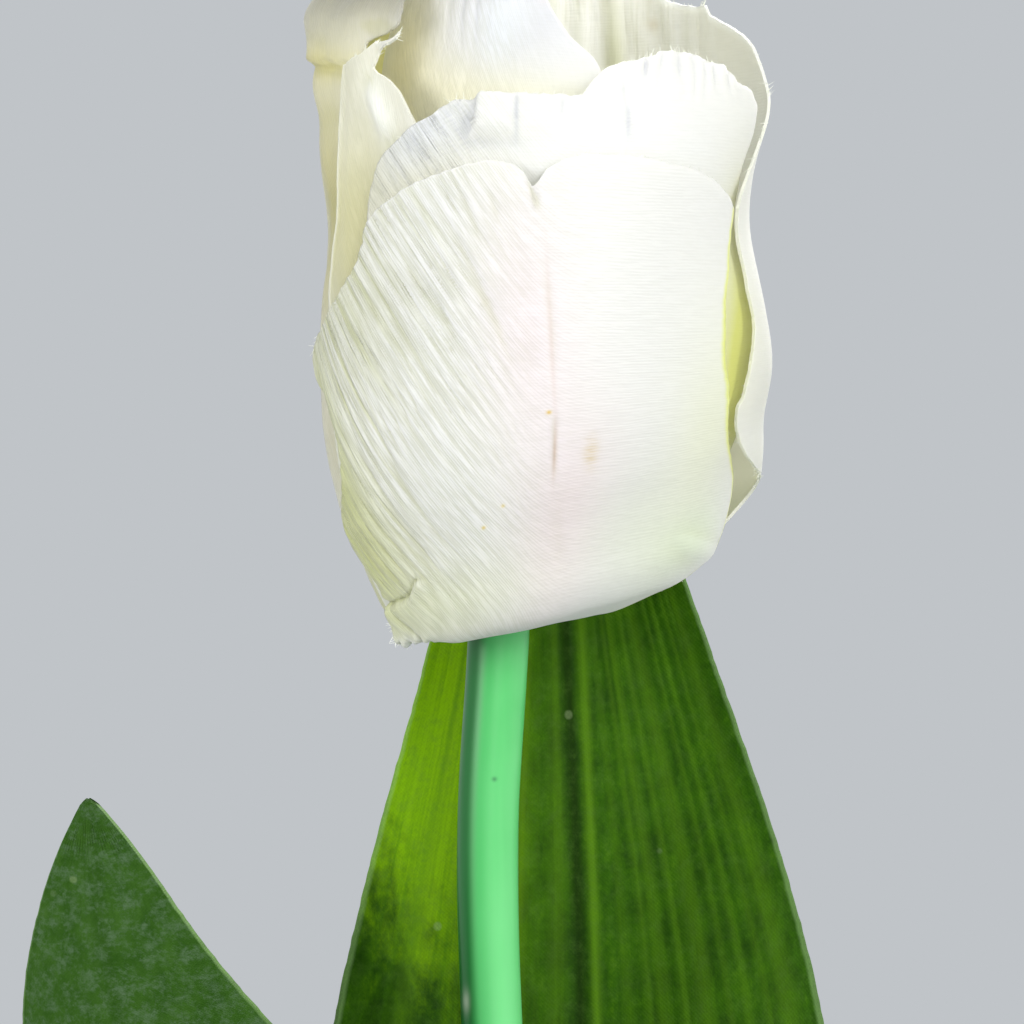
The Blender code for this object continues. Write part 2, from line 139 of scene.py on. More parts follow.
def gridMesh(name, points, maps=None, closedAcross=False):
    # points is rows x columns x 3 in millimetres; maps holds a rows x columns x 2 array for each UV map
    rows, columns = points.shape[:2]
    index = np.arange(rows * columns).reshape(rows, columns)
    if closedAcross:
        index = np.column_stack([index, index[:, 0]])
    corners = [index[:-1, :-1], index[:-1, 1:], index[1:, 1:], index[1:, :-1]]
    faces = np.stack(corners, -1).reshape(-1, 4)
    mesh = bpy.data.meshes.new(name)
    mesh.from_pydata((points.reshape(-1, 3) * mm).tolist(), [], faces.tolist())
    for mapName, values in (maps or {}).items():
        layer = mesh.uv_layers.new(name=mapName)
        layer.data.foreach_set("uv", values.reshape(-1, 2)[faces.ravel()].ravel())
    return placed(name, mesh)


def thicken(obj, thickness, lined=False):
    # a lined sheet has its second material on the back
    wall = obj.modifiers.new("thickness", "SOLIDIFY")
    wall.thickness = thickness * mm
    wall.offset = 0
    solid = bpy.data.meshes.new_from_object(obj.evaluated_get(bpy.context.evaluated_depsgraph_get()))
    one = len(obj.data.polygons)
    obj.modifiers.clear()
    obj.data = solid
    place = np.arange(len(solid.polygons))
    # the rim is shaded flat, so that it doesn't darken the cloth beside it
    solid.polygons.foreach_set("use_smooth", (place < 2 * one).tolist())
    if lined:
        solid.polygons.foreach_set("material_index", ((place >= one) & (place < 2 * one)).astype(np.int32))
    return obj


def dress(obj, material, slotName, *nodes):
    obj.data.materials.append(material)
    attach(obj, "root")
    if nodes:
        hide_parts(*nodes)
    return obj


def joined(name, pieces):
    # several grids as one closed mesh, welded where they meet and filled where they end
    form = bmesh.new()
    for piece in pieces:
        form.from_mesh(piece.data)
        bpy.data.objects.remove(piece)
    bmesh.ops.remove_doubles(form, verts=form.verts, dist=1e-6)
    bmesh.ops.holes_fill(form, edges=[edge for edge in form.edges if edge.is_boundary])
    bmesh.ops.recalc_face_normals(form, faces=form.faces)
    return placed(name, formed(name, form))


def turnedGrid(name, profile, sides, middle=(0, 0, 0)):
    # a profile of (radius, height) points turned round a vertical axis
    profile = np.array(profile, float)
    turn = np.radians(np.arange(sides) * 360 / sides)
    points = np.empty((len(profile), sides, 3))
    points[..., 0] = middle[0] + profile[:, :1] * np.cos(turn)
    points[..., 1] = middle[1] + profile[:, :1] * np.sin(turn)
    points[..., 2] = middle[2] + profile[:, 1:]
    return gridMesh(name, points, closedAcross=True)


def rings(route, radius, sides, uneven=0.0):
    # a grid of points round a line, at a radius that may be uneven
    route = np.array(route, float)
    way = unit(np.gradient(route, axis=0))
    side = unit(np.cross(way, (0.0, 1.0, 0.0)))
    front = np.cross(way, side)
    turn = np.radians(np.arange(sides) * 360 / sides)
    reach = radius + uneven + np.zeros((len(route), sides))
    return (
        route[:, None]
        + side[:, None] * (reach * np.cos(turn))[..., None]
        + front[:, None] * (reach * np.sin(turn))[..., None]
    )


# materials

class Signal:
    # one socket of a material; sums on it add Math nodes
    def __init__(self, finish, socket):
        self.finish, self.socket = finish, socket

    def __add__(self, other):
        return self.finish.maths("ADD", self, other)

    def __sub__(self, other):
        return self.finish.maths("SUBTRACT", self, other)

    def __mul__(self, other):
        return self.finish.maths("MULTIPLY", self, other)

    def __truediv__(self, other):
        return self.finish.maths("DIVIDE", self, other)

    def __pow__(self, other):
        return self.finish.maths("POWER", self, other)

    def __rsub__(self, other):
        return self.finish.maths("SUBTRACT", other, self)

    __radd__, __rmul__ = __add__, __mul__


class Finish:
    # the nodes of a material or of the world, added by calls
    def __init__(self, owner, main, output):
        owner.use_nodes = True
        self.owner, self.tree = owner, owner.node_tree
        self.shader, self.output = self.tree.nodes[main], self.tree.nodes[output]

    def feed(self, socket, value):
        if isinstance(value, Signal):
            self.tree.links.new(value.socket, socket)
        else:
            socket.default_value = value

    def node(self, kind, settings=None, inputs=None, output=0):
        made = self.tree.nodes.new("ShaderNode" + kind)
        for name, value in (settings or {}).items():
            setattr(made, name, value)
        for name, value in (inputs or {}).items():
            self.feed(made.inputs[name], value)
        return Signal(self, made.outputs[output])

    def maths(self, operation, first, second=0.0):
        return self.node("Math", {"operation": operation}, {0: first, 1: second})

    def mix(self, share, first, second, blend="MIX"):
        settings = {"data_type": "RGBA", "blend_type": blend}
        return self.node("Mix", settings, {0: share, 6: first, 7: second}, output=2)

    def vector(self, operation, first, second):
        return self.node("VectorMath", {"operation": operation}, {0: first, 1: second})

    def place(self):
        return self.node("TexCoord", output=3)

    def uv(self, name):
        pair = self.node("UVMap", {"uv_map": name})
        return pair, self.part(pair, 0), self.part(pair, 1)

    def part(self, vector, index):
        return self.node("SeparateXYZ", None, {0: vector}, output=index)

    def noise(self, where, scale, detail=2.0, roughness=0.5, stretch=None):
        if stretch:
            where = self.vector("MULTIPLY", where, stretch)
        inputs = {"Vector": where, "Scale": scale, "Detail": detail, "Roughness": roughness}
        return self.node("TexNoise", None, inputs)

    def cells(self, where, scale):
        # the distance to the nearest of scattered points, and a random colour for each of them
        return [self.node("TexVoronoi", None, {"Vector": where, "Scale": scale}, output) for output in (0, 1)]

    def step(self, value, start, end):
        inputs = {"Value": value, "From Min": start, "From Max": end}
        return self.node("MapRange", {"interpolation_type": "SMOOTHSTEP"}, inputs)

    def spot(self, across, up, middle, size, turn=0.0):
        # 1 in the middle of a soft oval, 0 outside it
        x, y = across - middle[0], up - middle[1]
        c, s = math.cos(math.radians(turn)), math.sin(math.radians(turn))
        far = ((x * c + y * s) / size[0]) ** 2 + ((y * c - x * s) / size[1]) ** 2
        return self.maths("EXPONENT", far * -1)

    def near(self, value, width):
        # 1 where a value is 0, and 0 where it is more than about a width away
        return self.maths("EXPONENT", (value / width) ** 2 * -1)

    def bump(self, height, strength, distance, normal=None):
        inputs = {"Height": height, "Strength": strength, "Distance": distance}
        if normal:
            inputs["Normal"] = normal
        return self.node("Bump", None, inputs)

    def set(self, **values):
        for name, value in values.items():
            self.feed(self.shader.inputs[name.replace("_", " ")], value)

    def blend(self, share, kind, inputs):
        # a second shader mixed over the main one
        main, other = Signal(self, self.shader.outputs[0]), self.node(kind, None, inputs)
        self.feed(self.output.inputs[0], self.node("MixShader", None, {0: share, 1: main, 2: other}))


def surface(name):
    return Finish(bpy.data.materials.new(name), "Principled BSDF", "Material Output")


def shade(red, green, blue):
    # a screen colour from 0 to 255 as the linear colour that a shader takes
    linear = [((c / 255 + 0.055) / 1.055) ** 2.4 if c > 10 else c / 3294 for c in (red, green, blue)]
    return (*linear, 1.0)


# the camera

view = {
    "target": (-14.6, 10.5, 292.8),
    "distance": 600.0,
    "above": 4.0,
    "lens": 210.9375,
}


def makeCamera():
    data = bpy.data.cameras.new("camera")
    data.sensor_width = 36
    data.lens = view["lens"]
    data.clip_start, data.clip_end = 0.01, 20
    camera = bpy.data.objects.new("camera", data)
    tilt = math.radians(view["above"])
    back = Vector((0, -math.cos(tilt), math.sin(tilt)))
    camera.location = (Vector(view["target"]) + back * view["distance"]) * mm
    camera.rotation_euler = (-back).to_track_quat("-Z", "Y").to_euler()
    bpy.context.scene.collection.objects.link(camera)
    bpy.context.scene.camera = camera


makeCamera()
print("camera placed")


# the cloth of the petals

cloth = {
    "white": shade(248, 248, 247),
    "offWhite": shade(236, 238, 232),
    "glow": (0.95, 0.94, 0.83, 1),
    "threadPitch": 0.25,
    "threadRun": 1.7,
    "weftPitch": 0.31,
    # painted shade between the lengthwise threads, and between the crosswise ones
    "paintedThreadShade": shade(178, 181, 142),
    "paintedWeftShade": shade(200, 202, 195),
    # lengthwise threads show left of the first place across, and crosswise ones right of the second
    "turnsSmooth": (-9.0, 7.0),
    "sheen": 0.5,
    "rough": 0.46,
    "ribRelief": 0.00028,
    "threadRelief": 0.00008,
}


def threaded(finish, beside, ahead, pitch, run):
    # 1 on threads a pitch apart that come and go over a run
    drift = finish.node("CombineXYZ", None, {0: beside * 0.35, 1: ahead * 0.12})
    wave = finish.maths("SINE", beside * (2 * math.pi / pitch) + finish.noise(drift, 1.0, 2) * 14)
    pair = finish.node("CombineXYZ", None, {0: beside * (1 / pitch), 1: ahead * (1 / run)})
    return finish.step(finish.noise(pair, 0.62, 2, 0.6) + wave * 0.09, 0.34, 0.66)


def turned(across, up, lean):
    turn = math.radians(lean)
    return across * math.cos(turn) + up * math.sin(turn), up * math.cos(turn) - across * math.sin(turn)


def feathered(finish, across, up, ribs, start):
    # counts up across lines that leave the midrib and run up and to the left like a feather's
    out = (finish.maths("SQRT", across * across + 20) - across) * 0.5 + start
    slope = (up - 25) * ribs["fan"] + ribs["lean"]
    return up - out * slope - finish.maths("LOGARITHM", out, math.e) * ribs["spread"]


def pressedRibs(finish, across, up, ribs):
    # 1 in the valleys between ribs; 0 on top and where there are none
    beside, ahead = across, up
    if not ribs["upright"]:
        beside, ahead = feathered(finish, across, up, ribs, 0.8), across
    pair = finish.node("CombineXYZ", None, {0: beside * (1 / ribs["pitch"]), 1: ahead * 0.07})
    valley = 1 - finish.step(finish.noise(pair, 0.8, 3, 0.62), 0.34, 0.56)
    for middle, size, turn, share in ribs["calm"]:
        valley = valley * (1 - finish.spot(across, up, middle, size, turn) * share)
    return valley * finish.step(across, *ribs["fades"]) * finish.step(up, *ribs["above"])


def petalFinish(name, paint, petal, face=True):
    # white satin with soft patches of sprayed colour and of painted shade and highlight, and a pale cut edge
    finish = surface(name)
    where, across, up = finish.uv("cloth")
    across, up = across * 100, up * 100
    _, share, rise = finish.uv("share")
    _, fold, _ = finish.uv("fold")
    ribs = petal["ribs"]
    if ribs["upright"]:
        beside, ahead = turned(across, up, petal["warp"])
    else:
        beside, ahead = feathered(finish, across, up, ribs, 3.0) * 0.6, across
    warp = threaded(finish, beside, ahead, cloth["threadPitch"], cloth["threadRun"])
    weft = threaded(finish, *turned(across, up, 88), cloth["weftPitch"], 1.6)
    patchy = finish.noise(where, 22, 3)
    smooth = finish.step(across + (patchy - 0.5) * 8, *cloth["turnsSmooth"]) * 0.7
    weave = warp * (1 - smooth) + weft * smooth
    colour = finish.mix(finish.noise(where, 9, 4) * 0.10, cloth["white"], cloth["offWhite"])
    for tint, middle, size, turn, strength in paint:
        mask = finish.spot(across, up, middle, size, turn) * strength
        colour = finish.mix(mask, colour, shade(*tint))
    for tint, middle, size in petal["wear"] if face else ():
        mask = finish.spot(across, up, middle, size) * (1.2 - weave)
        colour = finish.mix(mask, colour, shade(*tint))
    valley = pressedRibs(finish, across, up, ribs)
    # painted shade in the valleys between the pressed ribs
    colour = finish.mix(valley * ribs["strength"], colour, shade(*ribs["tint"]))
    # painted shade in the creases, where the relief lies below its smoothed form
    colour = finish.mix(finish.step(fold, 0.04, -0.16) * 0.5, colour, shade(*petal["foldPaintedShade"]), "MULTIPLY")
    # painted shade between the threads: lengthwise where the cloth is ribbed, crosswise where it is smooth
    tone = (1 - smooth * 1.05) * petal["threadTone"]
    tint = finish.mix(smooth, cloth["paintedThreadShade"], cloth["paintedWeftShade"])
    colour = finish.mix((1 - weave) * tone, colour, tint, "MULTIPLY")
    # the cut edges are paler, partly their own pale fray and partly a painted highlight where the edge
    # catches the light
    for side, tint, start, end, strength in petal["margins"]:
        inward = {"left": share, "right": 1 - share, "top": 1 - rise, "base": rise}[side]
        colour = finish.mix((1 - finish.step(inward, start, end)) * strength, colour, shade(*tint))
    normal = finish.bump(1 - valley, 0.55, cloth["ribRelief"])
    normal = finish.bump(weave * (1 - smooth * 0.7), 0.5, cloth["threadRelief"], normal)
    finish.set(
        Base_Color=colour, Roughness=cloth["rough"] + (1 - weave) * 0.12, Normal=normal,
        Sheen_Weight=cloth["sheen"], Sheen_Roughness=0.5, Specular_IOR_Level=0.42,
    )
    share, colour = petal["glow"], petal["glowShade"]
    if not face and petal["through"]:
        low, high, start, end, colour = petal["through"]
        share = finish.step(up, start, end) * (high - low) + low
    finish.blend(share, "BsdfTranslucent", {"Color": colour})
    return finish.owner


# the bloom

bloom = {
    "middle": (-11.8, 10.5, 280.0),
    "stemOffset": -4.1,
    "slant": 0.245,
    "layer": 1.2,
    "cloth": 0.3,
    "outer": [
        (4.95, 4.2), (8.0, 3.1), (11.5, 2.6), (14.3, 3.1), (16.3, 5.1), (17.7, 8.0), (19.1, 11.5),
        (20.7, 16.0), (21.9, 22.0), (22.4, 29.0), (22.4, 37.0), (22.1, 45.0), (21.7, 52.0),
        (21.3, 60.0), (20.5, 68.0), (19.3, 75.0),
    ],
    "centre": [
        (4.95, 8.6), (8.0, 7.7), (11.0, 8.2), (13.2, 11.0), (14.6, 16.0), (15.4, 24.0),
        (15.6, 34.0), (15.3, 46.0), (14.8, 56.0), (13.6, 63.0), (10.6, 69.0), (7.0, 73.0),
    ],
    # how far out, at which angle and height, and how wide and tall
    "bulges": [
        (-1.6, 84, 32, 41.5, 6.5), (1.6, 92, 34, 53.5, 6), (2.0, -98, 38, 48, 14), (1.6, -98, 40, 70, 10),
    ],
    "bowlReach": 28.0,
    "bowlShare": 0.45,
    "flatRadius": 22.2,
}


def cupLine(profile):
    rough = measured(profile)
    return measured(along(rough, np.linspace(0, rough[-1, 0], 121)))


def cupPoints(line, reach, angle, inward, bulges):
    found = along(line, reach)
    run = unit(along(line, reach + 0.5) - along(line, reach - 0.5))
    radius = found[..., 0] - run[..., 1] * inward
    height = found[..., 1] + run[..., 0] * inward
    for out, middle, width, tall, high in bulges:
        radius = radius + out * hill(angle, middle, width) * hill(height, tall, high)
    offset = bloom["stemOffset"]
    across, back = compass(angle)
    x = offset * (1 - ease(1, 13, reach)) + radius * across
    slant = bloom["slant"] * ease(2, 9, reach) * (1 - ease(14, 46, reach))
    height = height + slant * (x - offset)
    return np.stack([x, radius * back, height], -1) + np.array(bloom["middle"])


def pinnate(a, r, spacing, seed, lean=0.72, spread=6.4, fan=0.0, warped=0.7):
    # pressed ribs that leave the midrib and run up and outwards like a feather's; 1 on top of a rib
    out = np.abs(a) + 0.8
    phase = r - (lean + fan * (r - 25)) * out - spread * np.log(out) + warped * unevenness(a, r, 13, seed)
    return np.abs(np.sin(math.pi * phase / spacing)) ** 0.55


limeLow = (204, 210, 142)
lime = (214, 218, 160)
# a petal's pressed ribs, with the tint and strength of the painted shade in their valleys
noRibs = {
    "upright": True, "pitch": 1.2, "tint": (226, 226, 206), "strength": 0.0, "fades": (0, 1), "above": (0, 1),
    "calm": [],
}
# what a petal has unless its own dictionary, beside its relief, says otherwise: the margins left and right
# are angles at reaches, the top edge is heights across, and spots of paint are (colour, middle, size,
# turn, strength) on the cloth laid flat; they hold the flower's own colour and also painted shade and
# highlight, and the inside spots colour the petal's back, partly with painted shade and light in the cup
plainPetal = {
    "depth": [(-180, 0), (180, 0)], "bulges": [], "ribs": noRibs, "wear": [], "crowded": 1.0,
    "threadTone": 0.12, "glow": 0.3, "glowShade": cloth["glow"], "through": None,
    "foldPaintedShade": (226, 227, 196),
}


def outerFrontRelief(a, r, u):
    left = ease(-1.0, 9.0, -a)
    lively = 0.75 + 0.5 * unevenness(a, r, 8, 5)
    relief = 0.22 * (pinnate(a, r, 2.2, 3, 1.05, 4.0) - 0.7) * lively
    fine = 0.09 * (pinnate(a, r, 1.2, 8, 1.05, 4.0) - 0.7) * (0.8 + 0.6 * unevenness(a, r, 6, 9))
    ends = (1 - 0.4 * ease(50, 57, r)) * ease(7, 12, r) * (1 - 0.6 * ease(-23, -30, a))
    relief = left * (relief + fine) * ends
    calm = hill(a + 0.55 * (r - 22), -8.3, 5.7) * ease(34, 25, r)
    relief = relief * (1 - 0.7 * calm) * (1 - 0.7 * ease(17, 12, r))
    # a few deeper folds, and the shallow crease of the midrib
    for line, deep, wide in [
        ([(-11.1, 52.2), (-9.5, 50.4), (-7.9, 48.0), (-5.9, 44.2), (-4.0, 40.4), (-2.6, 36.0)], 0.26, 0.5),
        ([(-15.0, 48.5), (-12.2, 44.6), (-9.4, 41.0), (-7.2, 36.5)], 0.24, 0.5),
        ([(-18.6, 44.9), (-15.0, 40.8), (-11.5, 36.0), (-9.0, 31.5)], 0.26, 0.5),
        ([(-24.0, 34.5), (-20.0, 28.0), (-16.2, 22.4), (-12.5, 17.0), (-9.5, 13.6)], 0.30, 0.6),
        ([(-21.0, 36.4), (-16.1, 28.1), (-11.7, 20.9), (-7.5, 15.6)], 0.24, 0.5),
        ([(-8.6, 54.5), (-6.6, 50.5), (-5.2, 47.0)], 0.20, 0.5), ([(-5.2, 54.4), (-4.0, 50.2)], 0.14, 0.5),
        ([(-1.4, 55.6), (-0.9, 53.4), (0.1, 51.4)], 0.42, 0.4),
        ([(0.2, 48.5), (1.0, 40.2), (1.2, 33.0)], 0.12, 0.6), ([(1.2, 32.5), (1.4, 24.0)], 0.2, 0.45),
        ([(1.5, 24.0), (2.5, 12.7)], 0.06, 0.9),
    ]:
        relief = relief - deep * groove(a, r, line, wide)
    relief = relief + 0.10 * unevenness(a, r, 15, 21)
    # the hem bells out, most at the lower right, with a crease running into the corner there
    relief = relief + 0.95 * ease(-20, -11, a) * hill(r, 8, 6.5) + 0.9 * ease(17, 30, a) * hill(r, 13.5, 6)
    relief = relief + 0.35 * groove(a, r, [(17.0, 15.2), (22, 13.4), (28, 12.2), (36, 11.5)], 0.8)
    # the lower left corner was slit, and the flap below the slit lies over the rest
    slit = [(-16.3, 16.7), (-17.2, 15.9), (-17.8, 15.3), (-19.6, 14.9), (-23.4, 14.5)]
    cut = np.interp(a, [-23.4, -19.6, -17.9, -17.2, -16.5], [14.4, 14.8, 15.2, 15.8, 16.7])
    relief = relief + 0.55 * ease(0.12, -0.12, r - cut) * ease(-13.5, -17.0, a) * ease(8.0, 10.5, r)
    relief = relief - 0.4 * groove(a, r, slit, 0.3, False)
    flap = [(-23.4, 14.9), (-22.5, 14.2), (-21.7, 13.2), (-20.5, 12.0), (-19.3, 10.8), (-17.9, 8.2)]
    relief = relief - 0.34 * groove(a, r, flap, 0.32, False)
    relief = relief + 0.22 * groove(a, r, [(-26, 11), (-21, 9.6)], 1.1)
    # the hem beyond the flap rolls up in a frayed lip
    lip = hill(r, 9.2, 1.4) * ease(-15, -20, a)
    return relief + lip * (0.12 + 0.3 * unevenness(a, r, 2.2, 24))


outerFront = {
    **plainPetal, "columns": 220, "rows": 200, "relief": outerFrontRelief, "jag": 0.16, "seed": 1,
    "threadTone": 0.36, "glow": 0.28,
    "left": [
        (0, -60), (9, -63), (12, -62), (14.8, -61), (17.6, -63), (20.4, -68.5), (23.8, -71), (27, -66.2),
        (31, -65.6), (34.4, -71), (36.2, -79.5), (37.6, -81), (39.0, -77), (40.5, -70.5), (42, -65.4),
        (43.8, -58.5), (46.6, -51.8), (50.2, -48.5), (64, -38),
    ],
    "right": [
        (0, 52), (8, 70), (12, 80), (16, 83), (19, 79), (21.8, 70), (24.8, 61.8), (30.4, 56.5), (37, 53.5),
        (42.8, 54), (46.2, 56.5), (49.6, 60.2), (51.6, 62.5), (60, 64),
    ],
    "top": [
        (0, 41.8), (0.029, 43.6), (0.103, 45.8), (0.174, 47.0), (0.244, 47.8), (0.318, 48.0), (0.366, 47.2),
        (0.39, 46.0), (0.401, 45.7), (0.412, 46.3), (0.423, 47.2), (0.455, 48.2), (0.55, 48.8),
        (0.65, 48.6), (0.763, 47.6), (0.872, 46.2), (0.965, 44.4), (1, 43.2),
    ],
    "ribs": {
        **noRibs, "upright": False, "lean": 1.05, "spread": 4.0, "fan": 0.0, "pitch": 1.15,
        "tint": (206, 209, 158), "strength": 0.8, "fades": (-2, -25), "above": (9, 13),
        "calm": [((-8.3, 22), (5.4, 13), 28, 0.85), ((-12, 12.5), (12, 3.6), 0, 0.85)],
    },
    "inside": [(limeLow, (0, 20), (40, 16), 0, 0.9), (lime, (0, 45), (30, 14), 0, 0.6)],
    "paint": [
        ((251, 240, 245), (-1.0, 40), (4.8, 14), 4, 0.9),
        ((246, 229, 234), (2.6, 20.5), (5.2, 11), -8, 0.75),
        ((216, 220, 148), (-26, 22), (6.0, 13), 30, 1.0), ((200, 206, 124), (-28, 27), (4.2, 11), 12, 1.0),
        (limeLow, (-26, 17), (7, 8), 20, 0.8), ((230, 232, 204), (-21, 42), (5, 7), 30, 0.6),
        ((232, 236, 204), (-14, 13.5), (11, 4.2), 0, 0.7),
        # the first spot on the next line is a painted highlight on the flap at the lower left
        ((252, 252, 249), (-22.5, 9.3), (4.6, 1.7), 0, 0.95), ((248, 252, 222), (20, 26), (6, 14), 0, 0.75),
        ((230, 244, 210), (21, 14), (8, 4), 0, 0.75), ((240, 247, 224), (12, 17), (7, 6), 0, 0.4),
        ((206, 172, 160), (1.35, 27.6), (0.24, 2.6), -2, 0.6),
        ((232, 208, 206), (1.0, 38.5), (0.25, 8), 3, 0.4),
        ((236, 198, 50), (0.75, 31.9), (0.26, 0.2), 0, 0.95),
        ((244, 216, 90), (-6.3, 21.1), (0.22, 0.18), 0, 0.95),
        ((242, 220, 130), (-4.0, 23.0), (0.2, 0.18), 0, 0.9),
    ],
    "wear": [((232, 214, 186), (5.0, 27.0), (0.7, 1.6))],
    # the yellow-green down the right edge is a painted highlight, where light shines through the hem
    "margins": [("right", (238, 244, 96), 0.002, 0.02, 0.9), ("top", (253, 253, 251), 0.0, 0.006, 0.7)],
    "tufts": [
        ("left", 0.13, 30), ("left", 0.16, 30), ("left", 0.19, 26), ("right", 0.22, 16),
        ("right", 0.15, 12), ("left", 0.72, 8),
    ],
    "threads": 60,
}


def innerFrontRelief(a, r, u):
    left = ease(2.0, 10.0, -a)
    relief = left * (0.16 * (pinnate(a, r, 2.4, 13) - 0.7) + 0.07 * (pinnate(a, r, 1.2, 18) - 0.7))
    relief = relief * ease(0.0, 0.03, u)
    # the top is folded over on itself once, left of the middle
    fold = np.interp(r, [57.5, 59.6, 61.2, 64.5], [-8.2, -7.2, -6.8, -6.3])
    relief = relief + 0.8 * ease(-0.2, 0.2, a - fold) * ease(58, 60.5, r) * (1 - ease(0, 9, a + 6))
    for top, low, deep in [
        ((8.6, 66.6), (8.9, 62.0), 0.16), ((9.0, 63.5), (9.8, 57.5), 0.15), ((11.5, 67.2), (11.7, 64.0), 0.3),
        ((16.3, 67.6), (15.9, 64.4), 0.26), ((21.3, 66.4), (21.2, 63.4), 0.22),
        ((2.6, 64.0), (2.0, 60.0), 0.22), ((-2.4, 63.6), (-2.9, 58.0), 0.22),
        ((5.5, 65.6), (5.6, 62.8), 0.12), ((13.8, 67.6), (13.7, 65.2), 0.18),
        ((18.8, 67.2), (18.6, 64.8), 0.16), ((24.0, 66.0), (23.8, 63.6), 0.14),
    ]:
        relief = relief - deep * groove(a, r, [top, low], 0.42, False) * ease(low[1] - 0.5, low[1] + 2.5, r)
    flutter = 0.12 * np.sin(a * 3.1 + 1.6 * unevenness(a, r, 5, 4)) * ease(61, 67, r) * ease(2, 7, a)
    return relief + flutter + 0.08 * unevenness(a, r, 12, 33)


innerFront = {
    **plainPetal, "columns": 170, "rows": 160, "relief": innerFrontRelief, "jag": 0.18, "seed": 4,
    "threadTone": 0.24, "foldPaintedShade": (216, 218, 228),
    "left": [
        (0, -36), (12, -46), (30, -53), (46, -52.5), (50.8, -51.5), (54, -50.2), (55.8, -49), (57.2, -46.5),
        (58.6, -41.8), (60, -37.2), (61, -32), (66, -26),
    ],
    "right": [(0, 72), (12, 88), (26, 88), (45, 80), (52.5, 76), (56, 74), (60, 78), (66, 78)],
    "top": [
        (0, 52.0), (0.024, 53.2), (0.042, 53.6), (0.069, 54.0), (0.108, 54.1), (0.122, 54.8), (0.217, 54.8),
        (0.316, 54.6), (0.375, 54.4), (0.4, 56.0), (0.425, 57.0), (0.462, 57.4), (0.5, 57.8), (0.564, 58.2),
        (0.589, 58.6), (0.63, 58.6), (0.676, 58.4), (0.745, 57.8), (0.84, 57.0), (0.886, 55.8),
        (0.96, 54.8), (1, 53.2),
    ],
    "depth": [(-60, 1), (90, 1)],
    "ribs": {
        **noRibs, "upright": False, "lean": 0.72, "spread": 6.4, "fan": 0.0, "pitch": 0.7,
        "tint": (222, 225, 228), "strength": 0.14, "fades": (-5, -12), "above": (50, 56),
    },
    "inside": [(limeLow, (0, 24), (45, 22), 0, 0.9), (lime, (6, 52), (40, 12), 0, 0.6)],
    "paint": [
        # the first spot, the lime seen in the gap beside the right petal, is partly sprayed lime and partly
        # painted shade
        ((224, 227, 96), (28, 33), (6.5, 15), 0, 1.5), ((222, 220, 196), (-19, 54), (5, 5), 35, 0.85),
        ((232, 236, 246), (-13, 59.5), (6, 3.2), 35, 0.6), (lime, (0, 16), (26, 12), 0, 0.8),
        ((236, 240, 248), (12, 56), (10, 7), 0, 0.35), ((236, 234, 210), (-13, 54), (5, 2.4), 30, 0.6),
        # the four thin bluish spots are painted shade in the creases at the top
        ((220, 220, 234), (11.6, 65.8), (0.4, 1.2), 0, 0.5),
        ((218, 220, 234), (9.4, 60.5), (0.26, 2.4), -6, 0.55),
        ((220, 221, 234), (8.6, 65.2), (0.2, 1.4), 0, 0.45),
        ((214, 217, 226), (-2.5, 61.2), (0.24, 2.6), 0, 0.6),
    ],
    "margins": [("top", (252, 252, 250), 0.0, 0.01, 0.6)],
    "tufts": [("top", 0.56, 6), ("top", 0.64, 6), ("top", 0.05, 6)], "threads": 60,
}


def outerRightRelief(a, r, u):
    ribs = 0.14 * np.sin(a * 1.9 + 1.6 * unevenness(a, r, 14, 6)) * ease(40, 60, r) * ease(44, 56, a)
    deep = -0.45 * hill(a, 61.3, 0.8) * ease(50, 66, r) + 0.35 * hill(a, 57.5, 1.5) * ease(52, 66, r)
    seam = 0.14 * hill(a, 62.9, 0.45) * ease(50, 62, r)
    belly = 0.3 * hill(a, 33, 8) * hill(r, 34, 6)
    return ribs + deep + seam + belly + 0.10 * unevenness(a, r, 13, 41)


